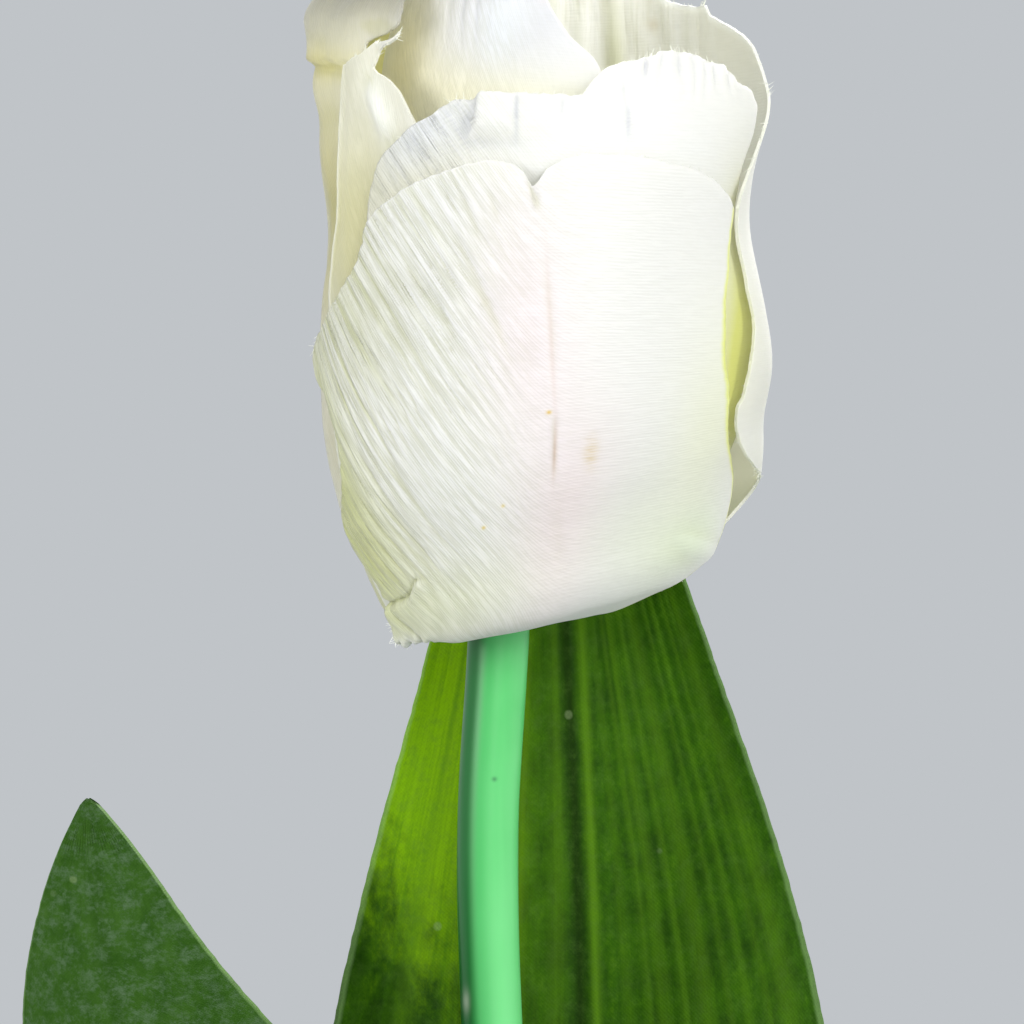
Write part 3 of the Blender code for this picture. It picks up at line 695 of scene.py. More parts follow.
outerRight = {
    **plainPetal, "columns": 150, "rows": 150, "relief": outerRightRelief, "jag": 0.13, "seed": 2,
    "threadTone": 0.34, "glow": 0.34, "foldPaintedShade": (216, 218, 196),
    "left": [
        (0, 84), (8, 95), (15, 95), (17, 92), (18, 88), (19.4, 80), (20.2, 76), (22.9, 67.5), (26.1, 62.6),
        (29.3, 61.2), (30.3, 62.8), (34, 64.9), (37.3, 66.8), (40.6, 68.6), (43, 67.6), (45.8, 67.6),
        (49.3, 66.4), (53, 68.5), (57.4, 79), (62, 88), (66, 92),
    ],
    "right": [(0, 148), (12, 160), (28, 172), (60, 183), (84, 180)],
    "top": [
        (0, 53.6), (0.05, 55.6), (0.076, 57.4), (0.131, 59.4), (0.26, 61.2), (0.364, 62.6), (0.383, 63.5),
        (0.43, 63.4), (0.547, 64.0), (0.69, 66.6), (0.79, 67.4), (0.87, 67.4), (0.94, 66.5), (1, 65),
    ],
    "bulges": [
        (2.6, 84, 26, 11, 5.5), (0.55, 84, 26, 22, 8), (1.35, 94, 18, 8.2, 3), (-0.75, 92, 22, 49, 4),
        (-0.25, 92, 22, 55.5, 4),
    ],
    "through": (0.86, 0.3, 40, 54, (0.95, 0.95, 0.84, 1)),
    "ribs": {
        **noRibs, "pitch": 1.9, "tint": (218, 217, 190), "strength": 0.36, "fades": (44, 56),
        "above": (48, 62),
    },
    "inside": [
        # the first spot, bright lime low on the back, is painted light passed through the cloth into the gap
        # beside the front petal
        ((226, 230, 92), (30, 31), (9, 22), 0, 1.0), ((245, 245, 248), (46, 62), (14, 13), 0, 1.0),
        ((242, 241, 230), (45, 69), (9, 5), 0, 0.6), ((244, 243, 234), (58.5, 66), (3, 8), 0, 0.5),
        ((214, 196, 164), (57.0, 70.0), (0.9, 0.7), 0, 0.5),
        # the first spot on the next line is painted shade in the deep fold near the front margin
        ((206, 208, 160), (61.3, 64), (1.1, 9), 0, 0.7), (limeLow, (45, 24), (26, 16), 0, 0.8),
    ],
    "paint": [((228, 232, 190), (40, 8), (22, 8), 0, 0.8), ((246, 248, 236), (33, 62), (4, 7), 0, 0.6)],
    "margins": [("top", (250, 251, 246), 0.004, 0.014, 0.9), ("left", (250, 251, 240), 0.0, 0.01, 0.8)],
    "warp": 6,
    "tufts": [
        ("left", 0.29, 22), ("left", 0.32, 12), ("top", 0.4, 8), ("top", 0.03, 10), ("left", 0.955, 12),
        ("left", 0.905, 10),
    ],
    "threads": 70,
}


def outerLeftRelief(a, r, u):
    # the tip is turned down outwards in a tongue, whose edge stands off the side and climbs to the back
    edge = 66.2 - 0.02 * (a + 36) + 0.045 * np.maximum(-38 - a, 0) ** 1.6
    over = ease(-0.2, 0.2, r - edge) * (1 - ease(-26.5, -20.5, a))
    relief = over * (1.0 + 0.6 * hill(r, 71, 4)) + 0.6 * hill(a, -40, 9) * ease(67, 75, r)
    relief = relief - 2.0 * hill(a, -34, 11) * hill(r, 50.5, 7) + 0.7 * hill(a, -35, 9) * hill(r, 64.0, 2.4)
    relief = relief + 0.45 * hill(a, -34, 7) * hill(r, 30, 7) - 0.25 * hill(a, -34, 9) * hill(r, 60.5, 3)
    # above its fold the tip leans back in
    relief = relief - 3.6 * ease(70, 77, r)
    return relief + 0.18 * unevenness(a, r, 16, 51) + 0.05 * unevenness(a, r, 5, 52)


outerLeft = {
    **plainPetal, "columns": 140, "rows": 170, "relief": outerLeftRelief, "jag": 0.12, "seed": 3,
    "crowded": 1.3, "through": (0.5, 0.66, 30, 50, (0.95, 0.92, 0.48, 1)),
    "left": [(0, -196), (12, -200), (30, -202), (52, -198), (60, -186), (66, -179), (84, -172)],
    "right": [
        (0, -104), (12, -84), (24, -62), (40, -61), (60, -61), (66, -61), (68.4, -59), (69, -53.8),
        (69.8, -49.4), (70.6, -48.8), (71.6, -49.4), (72.4, -50.8), (75, -54), (84, -60),
    ],
    "top": [(0, 60.5), (0.15, 66.0), (0.4, 69.5), (0.6, 70.0), (0.85, 68.0), (1, 67.0)],
    "depth": [
        (-204, 1.1), (-190, 1.1), (-180, 0.5), (-165, 0), (-120, 0), (-104, 0.5), (-97, 0.95), (-87, 1.0),
        (-79, 2.2), (-58, 2.5),
    ],
    "inside": [
        # the grey spot is painted shade on the back, and the olive one behind the notch is painted light
        # passed through the cloth
        ((198, 198, 178), (-52, 66), (22, 12), 0, 0.85), ((212, 208, 110), (-54, 62), (16, 8), 0, 1.0),
        (limeLow, (-50, 26), (40, 20), 0, 0.85),
    ],
    "paint": [
        # the second spot, grey at the tip, is painted shade on the turned-down tongue, and the next line's
        # band is painted shade under its fold
        ((196, 190, 138), (-34, 52), (10, 18), 0, 1.0), ((124, 123, 121), (-27, 75), (20, 8), 0, 1.0),
        ((200, 192, 128), (-34, 66.0), (10, 1.8), 0, 0.85),
        ((122, 114, 98), (-19.9, 69.4), (0.13, 0.13), 0, 0.8), ((212, 208, 186), (-30, 30), (9, 8), 0, 0.9),
        ((196, 198, 120), (-28, 14), (10, 8), 0, 0.9), ((214, 214, 200), (-60, 60), (14, 18), 0, 0.6),
    ],
    "margins": [("top", (244, 245, 240), 0.0, 0.012, 0.7)], "warp": 10, "tufts": [("right", 0.2, 6)],
    "threads": 40,
}


def innerLeftRelief(a, r, u):
    # one soft fold runs down from the notch
    relief = 0.75 * groove(a, r, [(-22.4, 64.8), (-21.2, 63.0), (-19.6, 60.6), (-18.0, 58.0)], 1.15)
    relief = relief + 0.2 * ease(0.45, 0.0, u * np.abs(a[:, -1:] - a[:, :1]))
    relief = relief + 0.25 * hill(r, 67.9 - 0.12 * (a + 20), 0.5) * ease(-21.5, -20, a)
    return relief + 0.10 * unevenness(a, r, 12, 61)


innerLeft = {
    **plainPetal, "columns": 100, "rows": 190, "relief": innerLeftRelief, "jag": 0.09, "seed": 5,
    "crowded": 1.35,
    "left": [
        (0, -78), (12, -78), (30, -76), (42.8, -73.0), (46.6, -69.6), (50.6, -66.2), (55, -65.8),
        (60, -66.4), (64, -66.8), (66, -66.2), (70, -65.4),
    ],
    "right": [
        (0, -4), (12, -4), (40, -8), (52, -26), (58, -34), (60.8, -39.8), (63.0, -44.5), (64.2, -48.5),
        (64.75, -51.6), (65.15, -54.8), (65.6, -56.0), (66.1, -55.4), (66.8, -54.4), (67.4, -53.6),
        (67.9, -50.8), (68.5, -47.4), (69.2, -46.2), (71, -46.2),
    ],
    "top": [
        (0, 57.4), (0.3, 58.1), (0.5, 58.5), (0.56, 59.0), (0.6, 59.8), (0.66, 59.6), (0.89, 59.9),
        (0.96, 60.5), (1, 60.8),
    ],
    "depth": [(-80, 1.15), (-63, 1.2), (-57, 1.9), (-50, 2.1), (5, 2.15)],
    "inside": [(limeLow, (-16, 24), (20, 20), 0, 0.9), ((222, 220, 160), (-18, 60), (12, 14), 0, 0.8)],
    "paint": [
        ((206, 202, 148), (-23, 48), (8, 15), 0, 0.95), ((220, 219, 200), (-25, 64), (5, 5), 0, 0.9),
        (limeLow, (-14, 22), (14, 14), 0, 0.8), ((214, 210, 164), (-22, 46), (6, 8), 0, 0.7),
        # painted highlight along the soft fold that runs down from the notch
        ((252, 254, 250), (-20.2, 61.6), (1.6, 4.0), 32, 1.0),
    ],
    "margins": [
        ("left", (250, 250, 236), 0.0, 0.018, 0.8), ("right", (250, 250, 240), 0.0, 0.02, 0.8),
        ("top", (250, 250, 240), 0.0, 0.008, 0.8),
    ],
    "warp": 20, "tufts": [("right", 0.95, 8), ("right", 0.98, 6)], "threads": 30,
}


def innerCentreRelief(a, r, u):
    folds = 0.15 * np.sin(a * 2.6 + 1.1 * unevenness(a, r, 12, 71)) * hill(a, -12.0, 4.0) * ease(56, 64, r)
    ribs = 0.06 * (pinnate(a + 20, r, 1.3, 72, 0.9, 3.0) - 0.7) * ease(-16, -10, a)
    hollow = 0.35 * hill(a, -1.0, 2.6) * hill(r, 70, 5)
    hollow = hollow - 0.8 * groove(a, r, [(-7.5, 72.5), (-3.0, 68.5)], 1.6)
    side = 0.8 * hill(a, -35, 7) * hill(r, 55, 8)
    return folds + ribs + hollow + side + 0.14 * unevenness(a, r, 14, 73)


innerCentre = {
    **plainPetal, "columns": 140, "rows": 130, "relief": innerCentreRelief, "jag": 0.06, "seed": 6,
    "threadTone": 0.26, "glow": 0.34, "glowShade": (0.95, 0.94, 0.9, 1), "foldPaintedShade": (222, 224, 232),
    "left": [(0, -150), (20, -170), (50, -175), (66, -160), (75, -140)],
    "right": [
        (0, 30), (20, 50), (45, 40), (55, 24.5), (57, 21.0), (58, 16.8), (59, 12.2), (60.8, 7.4),
        (61.8, 5.0), (63, 2.4), (66, -5), (69, -15), (75, -35),
    ],
    "top": [(0, 66), (0.25, 70.5), (0.5, 71.8), (0.75, 71.5), (1, 70)],
    "ribs": {
        **noRibs, "pitch": 1.6, "tint": (216, 214, 196), "strength": 0.3, "fades": (-10, -17),
        "above": (58, 64),
    },
    "inside": [(limeLow, (-20, 24), (60, 24), 0, 0.85)],
    "paint": [
        # the grey-blue over the head, the cream low on the left where the petals in front shade it, the greys
        # in the folds at the top left and the bluish diagonal are painted shade
        ((214, 216, 224), (-4, 60), (30, 14), 0, 0.9), ((240, 232, 190), (-24, 56), (7, 9), 0, 1.0),
        ((244, 238, 200), (-14, 53), (12, 4), 0, 0.85), ((228, 224, 206), (-26, 66), (5, 4), 0, 0.8),
        ((214, 211, 198), (-19, 75), (3.0, 8), 0, 0.7), ((228, 234, 242), (-6, 61), (3.4, 4.5), -25, 0.8),
        ((236, 234, 204), (0, 52), (14, 2.6), 0, 0.75), (limeLow, (0, 24), (60, 18), 0, 0.75),
        ((242, 218, 226), (1.2, 63.6), (1.5, 0.9), 0, 0.6),
    ],
    "margins": [("right", (252, 252, 252), 0.0, 0.01, 0.8)], "warp": 30, "tufts": [("top", 0.5, 6)],
    "threads": 30,
}


petals = {
    "petal_outer_front": outerFront, "petal_outer_right": outerRight, "petal_outer_left": outerLeft,
    "petal_inner_front": innerFront, "petal_inner_left": innerLeft, "petal_inner_centre": innerCentre,
}


def raggedEdge(seed, depth):
    # how far a cut edge stands out at a place along it: short teeth on longer waves
    rng = np.random.default_rng(seed)
    teeth, waves = rng.uniform(-1, 1, 400), rng.uniform(-1, 1, 400)
    return lambda place: depth * (
        0.6 * np.interp(place % 150, np.arange(400) * 0.45, teeth)
        + np.interp(place % 150, np.arange(400) * 2.3, waves)
    )


def petalGrid(petal, line, bulges):
    lowest = int(np.argmin(line[:, 2]))
    reachAtHeight = line[lowest:][:, [2, 0]]
    flatRadius = bloom["flatRadius"]
    edges = [raggedEdge(petal["seed"] * 10 + index, petal["jag"]) for index in range(3)]
    u, v = np.linspace(0, 1, petal["columns"] + 1), np.linspace(0, 1, petal["rows"] + 1)
    full = along(reachAtHeight, along(petal["top"], u))
    angle = along(petal["left"], full) * (1 - u) + along(petal["right"], full) * u
    full = full + edges[0](np.radians(angle) * flatRadius + 60)
    # the bowl's rows lie at the same reach on every petal, so that the layers stay apart
    bowl = bloom["bowlReach"] * v / bloom["bowlShare"]
    above = np.clip((v - bloom["bowlShare"]) / (1 - bloom["bowlShare"]), 0, 1)
    above = 1 - (1 - above) ** petal["crowded"]
    reach = np.where(
        v[:, None] <= bloom["bowlShare"],
        bowl[:, None],
        bloom["bowlReach"] + (full[None] - bloom["bowlReach"]) * above[:, None],
    )
    left = along(petal["left"], reach) + np.degrees(edges[1](reach) / flatRadius)
    right = along(petal["right"], reach) + np.degrees(edges[2](reach) / flatRadius)
    angle = left + (right - left) * u
    a = np.radians(angle) * flatRadius
    relief = petal["relief"](a, reach, u[None] + 0 * reach)
    relief = relief * ease(1.5, 6.5, reach)
    inward = bloom["layer"] * along(petal["depth"], angle) - relief
    points = cupPoints(line, reach, angle, inward, bulges + petal["bulges"])
    smooth = relief.copy()
    for _ in range(12):
        padded = np.pad(smooth, 1, mode="edge")
        smooth = (padded[:-2, 1:-1] + padded[2:, 1:-1] + padded[1:-1, :-2] + padded[1:-1, 2:] + smooth) / 5
    maps = {
        "cloth": np.stack([a, reach], -1) / 100,
        "share": np.stack([u[None] + 0 * reach, v[:, None] + 0 * reach], -1),
        "fold": np.stack([relief - smooth, 0 * relief], -1),
    }
    return points, maps


thread = {
    "thick": 0.05,
    "sunk": 0.25,
    "bend": 0.35,
    "sides": 3,
    "rings": 5,
    "white": shade(252, 252, 246),
    "green": shade(232, 236, 214),
    "rough": 0.6,
    "sheen": 0.3,
}


def threadFinish():
    finish = surface("loose thread")
    where = finish.place()
    colour = finish.mix(finish.noise(where, 900, 2), thread["white"], thread["green"])
    finish.set(Base_Color=colour, Roughness=thread["rough"], Sheen_Weight=thread["sheen"])
    return finish.owner


def fringe(name, points, petal, material):
    # short loose threads on the cut edges, in tufts where the edge is torn
    rng = np.random.default_rng(petal["seed"] + 100)
    edges = {
        "left": (points[:, 0], points[:, 0] - points[:, 2]),
        "right": (points[:, -1], points[:, -1] - points[:, -3]),
        "top": (points[-1], points[-1] - points[-3]),
    }
    places = [("top", rng.uniform(0.02, 0.98), rng.uniform(0.15, 0.42)) for _ in range(petal["threads"])]
    for side in ("left", "right"):
        count = petal["threads"] // 3
        places += [(side, rng.uniform(0.35, 0.99), rng.uniform(0.15, 0.4)) for _ in range(count)]
    for side, middle, count in petal["tufts"]:
        places += [(side, middle + rng.normal(0, 0.012), rng.uniform(0.3, 0.95)) for _ in range(count)]
    form = bmesh.new()
    for side, place, length in places:
        line, out = edges[side]
        spot = min(max(place, 0), 1) * (len(line) - 1)
        low = min(int(spot), len(line) - 2)
        start = line[low] + (line[low + 1] - line[low]) * (spot - low)
        way = unit(unit(out[low]) + rng.normal(0, 0.45, 3))
        bend = rng.normal(0, 0.55, 3)
        across = unit(np.cross(way, bend + 0.01))
        other = np.cross(way, across)
        made = []
        for share in np.linspace(0, 1, thread["rings"]):
            middle = start + way * ((length + thread["sunk"]) * share - thread["sunk"])
            middle = middle + bend * length * thread["bend"] * share**2
            thick = thread["thick"] * (1 - 0.75 * share)
            turns = [corner * 2 * math.pi / thread["sides"] for corner in range(thread["sides"])]
            spots = [middle + (across * math.cos(turn) + other * math.sin(turn)) * thick for turn in turns]
            made.append([form.verts.new(Vector(spot) * mm) for spot in spots])
        for below, above in zip(made, made[1:]):
            for corner in range(thread["sides"]):
                form.faces.new((below[corner - 1], below[corner], above[corner], above[corner - 1]))
        form.faces.new(made[0][::-1])
        form.faces.new(made[-1])
    return dress(placed(name, formed(name, form), False), material, "petal_cloth")


def clothArea(points):
    # the area of a grid of points, in square metres
    one = np.cross(points[1:, 1:] - points[:-1, :-1], points[1:, :-1] - points[:-1, 1:])
    return float(np.linalg.norm(one, axis=-1).sum() / 2) * mm * mm


def declareSheet(points):
    # works out the area of the cloth, and does nothing more with it
    area = clothArea(points)


def makePetals():
    lines = {"outer": cupLine(bloom["outer"]), "centre": cupLine(bloom["centre"])}
    threads = threadFinish()
    for name, petal in petals.items():
        inside = name == "petal_inner_centre"
        line, bulges = (lines["centre"], []) if inside else (lines["outer"], bloom["bulges"])
        points, maps = petalGrid(petal, line, bulges)
        obj = thicken(gridMesh(name.replace("petal", "cloth"), points, maps), bloom["cloth"], True)
        dress(obj, petalFinish(name + " face", petal["paint"], petal), "petal_cloth", name)
        # the back of each petal is a second material coloured by its inside spots: the flower's lime, with
        # painted shade and painted light in the cup
        obj.data.materials.append(petalFinish(name + " lining", petal["inside"], petal, False))
        loose = fringe(name.replace("petal", "fray"), points, petal, threads)
        declareSheet(points)


makePetals()
print("petals made")


# the stem's line, which the leaves are rolled round

stem = {
    "radius": 3.1,
    "bore": 1.15,
    "lean": 150.0,
    "footReach": 9.6,
    "neckReach": 8.6,
    "neckHeight": 127.0,
    "floor": 6.0,
    "gap": 0.3,
    "top": 287.9,
    # height, across and back of the points between the vase's neck and the bloom
    "between": [(160.0, -11.4, 6.8), (200.0, -14.6, 8.8), (240.0, -16.6, 9.9), (262.0, -17.0, 10.3)],
    "rows": 260,
    "sides": 40,
}


def stemRoute():
    back, side = math.sin(math.radians(stem["lean"])), math.cos(math.radians(stem["lean"]))
    way = np.array((side, back))
    tilt = (stem["footReach"] + stem["neckReach"]) / stem["neckHeight"]
    foot = (stem["floor"] + stem["gap"] + stem["radius"] * tilt, *(-stem["footReach"] * way))
    neck = (stem["neckHeight"], *(stem["neckReach"] * way))
    middle = tuple((np.array(foot) + np.array(neck)) / 2)
    x, y, z = bloom["middle"]
    topX = x + bloom["stemOffset"]
    return [foot, middle, neck, *stem["between"], (z + 1.0, topX, y), (stem["top"], topX, y)]


def stemPoints(heights):
    return np.column_stack([along(stemRoute(), heights), heights])


# the leaves

leafCloth = {
    "thickness": 0.5,
    "mapLength": 170.0,
    "threadPitch": 0.42,
    # the mottling of the painted lit part, the cut edge, the flecks of glue and the painted shade in the gaps
    # between the threads
    "mottle": shade(88, 140, 2),
    "cutEdge": shade(150, 186, 120),
    "fleck": shade(150, 172, 120),
    "paintedGapShade": shade(60, 70, 50),
    "rough": 0.5,
    "shine": 0.07,
}
broadLeaf = {
    "columns": 120, "rows": 220, "seed": 11, "footHeight": 150.0, "sheath": 165.0,
    "line": [
        (0, 0, 0), (0.4, 2.0, 14), (1.4, 6.0, 36), (1.9, 11.5, 66), (1.8, 15.6, 92), (0.9, 20.5, 116),
        (-0.3, 26.0, 140), (-1.3, 31.0, 158), (-2.0, 34.5, 171),
    ],
    "width": [
        (0, 3.9), (0.06, 5.0), (0.14, 12), (0.26, 22), (0.38, 28), (0.48, 27.6), (0.6, 22.4), (0.72, 15.8),
        (0.84, 9.4), (0.94, 4.2), (0.985, 1.6), (0.996, 0.8), (1, 0.06),
    ],
    "roll": [(0, 3.7), (0.08, 5.6), (0.18, 13), (0.32, 30), (0.6, 46), (1, 40)],
    "facing": [(0, -15), (0.2, -6), (1, 0)], "wave": 1.1, "waves": 2.4, "veins": 30, "veinDepth": 0.035,
    "midrib": 0.28, "keel": 0.12,
    "lines": [
        (-0.1, 0.22, 0.5), (0.33, 0.2, 0.5), (0.5, 0.22, 0.6), (0.86, 0.3, 0.5), (-0.44, 0.3, 0.4),
        (0.2, 0.14, 0.3), (0.68, 0.16, 0.35), (-0.72, 0.3, 0.45), (-0.26, 0.14, 0.3), (0.42, 0.12, 0.5),
        (0.27, 0.1, 0.4), (0.6, 0.12, 0.4), (0.77, 0.12, 0.4),
    ],
    "midribTone": 0.75, "dark": (26, 60, 0), "middle": (50, 94, 2), "light": (92, 136, 20),
    # the translucent colour, then the colour of the painted light down one side, how far across it reaches
    # and how low it goes
    "glow": (0.1, 0.26, 0.004, 1), "paintedLight": (132, 182, 0), "brightSide": 0.31, "brightLow": 0.565,
    "dustAndSheen": (78, 112, 44), "dustAndSheenShare": 0.25, "streaks": 0.28,
}
sideLeaf = {
    "columns": 110, "rows": 170, "seed": 12, "footHeight": 144.0, "sheath": -75.0,
    "line": [
        (0, 0, 0), (-1.4, -0.6, 13), (-8.0, -2.0, 30), (-18.0, -3.6, 50), (-27.0, -5.0, 68),
        (-34.8, -6.2, 85), (-40.0, -7.0, 102), (-42.9, -7.6, 121.4),
    ],
    "width": [
        (0, 3.3), (0.07, 4.4), (0.18, 9.4), (0.32, 16.5), (0.46, 21.4), (0.6, 22.2), (0.74, 18.2),
        (0.86, 12.2), (0.924, 7.6), (0.963, 4.3), (0.985, 2.15), (0.996, 0.95), (1, 0.06),
    ],
    "roll": [(0, 3.7), (0.1, 5.8), (0.22, 12), (0.4, 28), (1, 45)],
    "facing": [(0, 105), (0.15, 118), (0.4, 144), (1, 152)], "wave": 0.9, "waves": 2.0, "veins": 26,
    "veinDepth": 0.02, "midrib": 0.12, "keel": 0.05, "lines": [(0.3, 0.2, 0.12), (-0.4, 0.2, 0.12)],
    "midribTone": 0.12, "dark": (38, 76, 12), "middle": (54, 92, 26), "light": (72, 108, 44),
    "glow": (0.08, 0.2, 0.02, 1), "paintedLight": (80, 110, 60), "brightSide": 0.0, "brightLow": 0.5,
    "dustAndSheen": (88, 114, 82), "dustAndSheenShare": 0.75, "streaks": 0.1,
}
leaves = {"leaf_back": broadLeaf, "leaf_left": sideLeaf}


def leafGrid(leaf):
    across, back = compass(leaf["sheath"])
    foot = stemPoints(np.array([leaf["footHeight"]]))[0]
    skin = (stem["radius"] + stem["gap"] + 0.4) * np.array((across, back, 0))
    line = measured(foot + skin + np.array(leaf["line"], float))
    line[:, 0] /= line[-1, 0]
    u = np.linspace(0, 1, leaf["columns"] + 1)
    v = 1 - (1 - np.linspace(0, 1, leaf["rows"] + 1)) ** 1.25
    middle = along(line, v)
    tangent = unit(along(line, np.minimum(v + 0.01, 1)) - along(line, np.maximum(v - 0.01, 0)))
    level = np.stack([*compass(along(leaf["facing"], v)), 0 * v], -1)
    facing = unit(level - tangent * (level * tangent).sum(-1, keepdims=True))
    side = np.cross(tangent, facing)
    rng = np.random.default_rng(leaf["seed"])
    ragged = 0.05 * rng.uniform(-1, 1, len(v)) * ease(0.1, 0.3, v) * ease(0.99, 0.9, v)
    half = along(leaf["width"], v) + ragged
    roll = along(leaf["roll"], v)
    s = 2 * u - 1
    turn = s[None] * (half / roll)[:, None]
    wave = leaf["wave"] * np.sin(2 * math.pi * leaf["waves"] * v[:, None] + 2 * u[None])
    wave = wave * s[None] ** 2 * (ease(0.12, 0.4, v) * (1 - ease(0.85, 1, v)))[:, None]
    # veins run along the leaf; the midrib is a channel on the hollow side
    x = s[None] * half[:, None]
    y = v[:, None] * leafCloth["mapLength"] + 0 * x
    spread = ease(0.1, 0.35, v)[:, None]
    veins = np.cos(leaf["veins"] * math.pi * s[None] + 0.6 * unevenness(x, y, 60, leaf["seed"]))
    relief = leaf["veinDepth"] * veins * (1 - np.abs(s[None]) ** 6)
    relief = relief - leaf["midrib"] * hill(x, 0, 0.9) * (1 - ease(0.9, 1, v))[:, None]
    relief = relief + leaf["keel"] * hill(x, 1.6, 1.0) * (1 - ease(0.85, 1, v))[:, None]
    relief = (relief + 0.25 * unevenness(x, y, 26, leaf["seed"] + 5)) * spread
    lift = roll[:, None] * (1 - np.cos(turn)) + wave + relief
    points = middle[:, None] + side[:, None] * (roll[:, None] * np.sin(turn))[..., None]
    points = points + facing[:, None] * lift[..., None]
    maps = {
        "cloth": np.stack([x, y], -1) / 100,
        "share": np.stack([u[None] + 0 * x, v[:, None] + 0 * x], -1),
    }
    return points, maps


def leafFinish(name, leaf):
    # printed cloth: a mottled green print with lines for veins, over a fine plain weave
    finish = surface(name)
    where, across, up = finish.uv("cloth")
    pair, share, rise = finish.uv("share")
    across, up = across * 100, up * 100
    blotch = finish.noise(where, 34, 6, 0.68, (1, 0.6, 1))
    grain = finish.noise(where, 190, 4, 0.7)
    streak = finish.noise(pair, 1.0, 5, 0.68, (42, 3.0, 1))
    broad = finish.noise(pair, 1.0, 2, 0.5, (6, 2.2, 1))
    tone = blotch * 0.75 + (streak - 0.5) * leaf["streaks"] + broad * 0.25 + grain * 0.30 - 0.16
    colour = finish.mix(finish.step(tone, 0.28, 0.62), shade(*leaf["dark"]), shade(*leaf["middle"]))
    colour = finish.mix(finish.step(tone, 0.52, 0.86) * 0.75, colour, shade(*leaf["light"]))
    # painted light: the broad leaf is drawn lighter down its left side, where light falls on and through it,
    # and not near its foot
    bound, low = leaf["brightSide"], leaf["brightLow"]
    side = 1 - finish.step(share + (streak - 0.5) * 0.1, bound * 0.5, bound * 1.45 + 1e-3)
    side = side * finish.step(rise + (blotch - 0.5) * 0.2 + share * 0.32, low, low + 0.10)
    mottle = finish.step(streak + grain * 0.3, 0.45, 0.95)
    paintedLight = finish.mix(mottle, shade(*leaf["paintedLight"]), leafCloth["mottle"])
    colour = finish.mix(side * 0.92, colour, paintedLight)
    wobble = (broad - 0.5) * 0.08
    for place, width, strength in leaf["lines"]:
        line = finish.near(share * 2 - 1 + wobble - place, 0.16 * width) * (streak * 1.1 + 0.1)
        colour = finish.mix(line * strength, colour, shade(*leaf["light"]))
    centred = across + (broad - 0.5) * 0.9
    midrib = finish.near(centred, 0.8) * (0.5 + blotch) * leaf["midribTone"]
    beside = finish.near(centred - 1.7, 0.5) * (0.35 + streak) * leaf["midribTone"]
    colour = finish.mix(midrib, colour, shade(*[c * 0.6 for c in leaf["dark"]]))
    colour = finish.mix(beside, colour, shade(*leaf["light"]))
    # the print is dusty all over, its grey partly dust and partly a painted whitish sheen, most on the side
    # leaf, and the cut edge is pale
    dustAndSheenMask = finish.noise(where, 52, 6, 0.78) + grain * 0.25
    colour = finish.mix(finish.step(dustAndSheenMask, 0.56, 0.82) * leaf["dustAndSheenShare"], colour, shade(*leaf["dustAndSheen"]))
    edge = finish.step(finish.maths("ABSOLUTE", share * 2 - 1), 0.972, 0.992)
    colour = finish.mix(edge * 0.3, colour, leafCloth["cutEdge"])
    # pale flecks, where glue has dried on the print
    fleck, pick = finish.cells(where, 34)
    rare = finish.step(finish.part(pick, 0), 0.93, 0.97)
    colour = finish.mix((1 - finish.step(fleck, 0.10, 0.2)) * rare * 0.28, colour, leafCloth["fleck"])
    pace = 2 * math.pi / leafCloth["threadPitch"]
    weave = finish.maths("SINE", across * pace) * finish.maths("SINE", up * pace)
    # painted shade: the print is drawn a little darker in the gaps between the threads
    colour = finish.mix((0.5 - weave * 0.5) * 0.10, colour, leafCloth["paintedGapShade"], "MULTIPLY")
    normal = finish.bump(weave * 0.6 + grain * 0.8, 0.18, 0.00012)
    normal = finish.bump(streak, 0.15, 0.0006, normal)
    finish.set(
        Base_Color=colour, Roughness=leafCloth["rough"] + blotch * 0.22, Normal=normal,
        Specular_IOR_Level=leafCloth["shine"],
    )
    finish.blend(0.14, "BsdfTranslucent", {"Color": leaf["glow"]})
    return finish.owner


def makeLeaves():
    for name, leaf in leaves.items():
        points, maps = leafGrid(leaf)
        obj = thicken(gridMesh(name.replace("leaf", "blade"), points, maps), leafCloth["thickness"])
        dress(obj, leafFinish(name + " print", leaf), "leaf_cloth", name)
        declareSheet(points)


makeLeaves()
print("leaves made")


# the plastic and the wire of the stem, the holder and the stamens

plastic = {
    "light": shade(114, 212, 130),
    "base": shade(88, 196, 108),
    # a deeper green for clouds in the plastic and for the painted shade down its left side, then the darkest
    # of that painted shade
    "deep": shade(44, 158, 72),
    "paintedLeftShade": shade(0, 92, 28),
    "rough": 0.34,
    # side, height and size in millimetres, and colour
    "specks": [
        ((-16.35, 266.3), (0.26, 0.24), shade(40, 110, 66)),
        ((-19.2, 243.8), (0.35, 1.1), shade(160, 176, 150)),
    ],
}


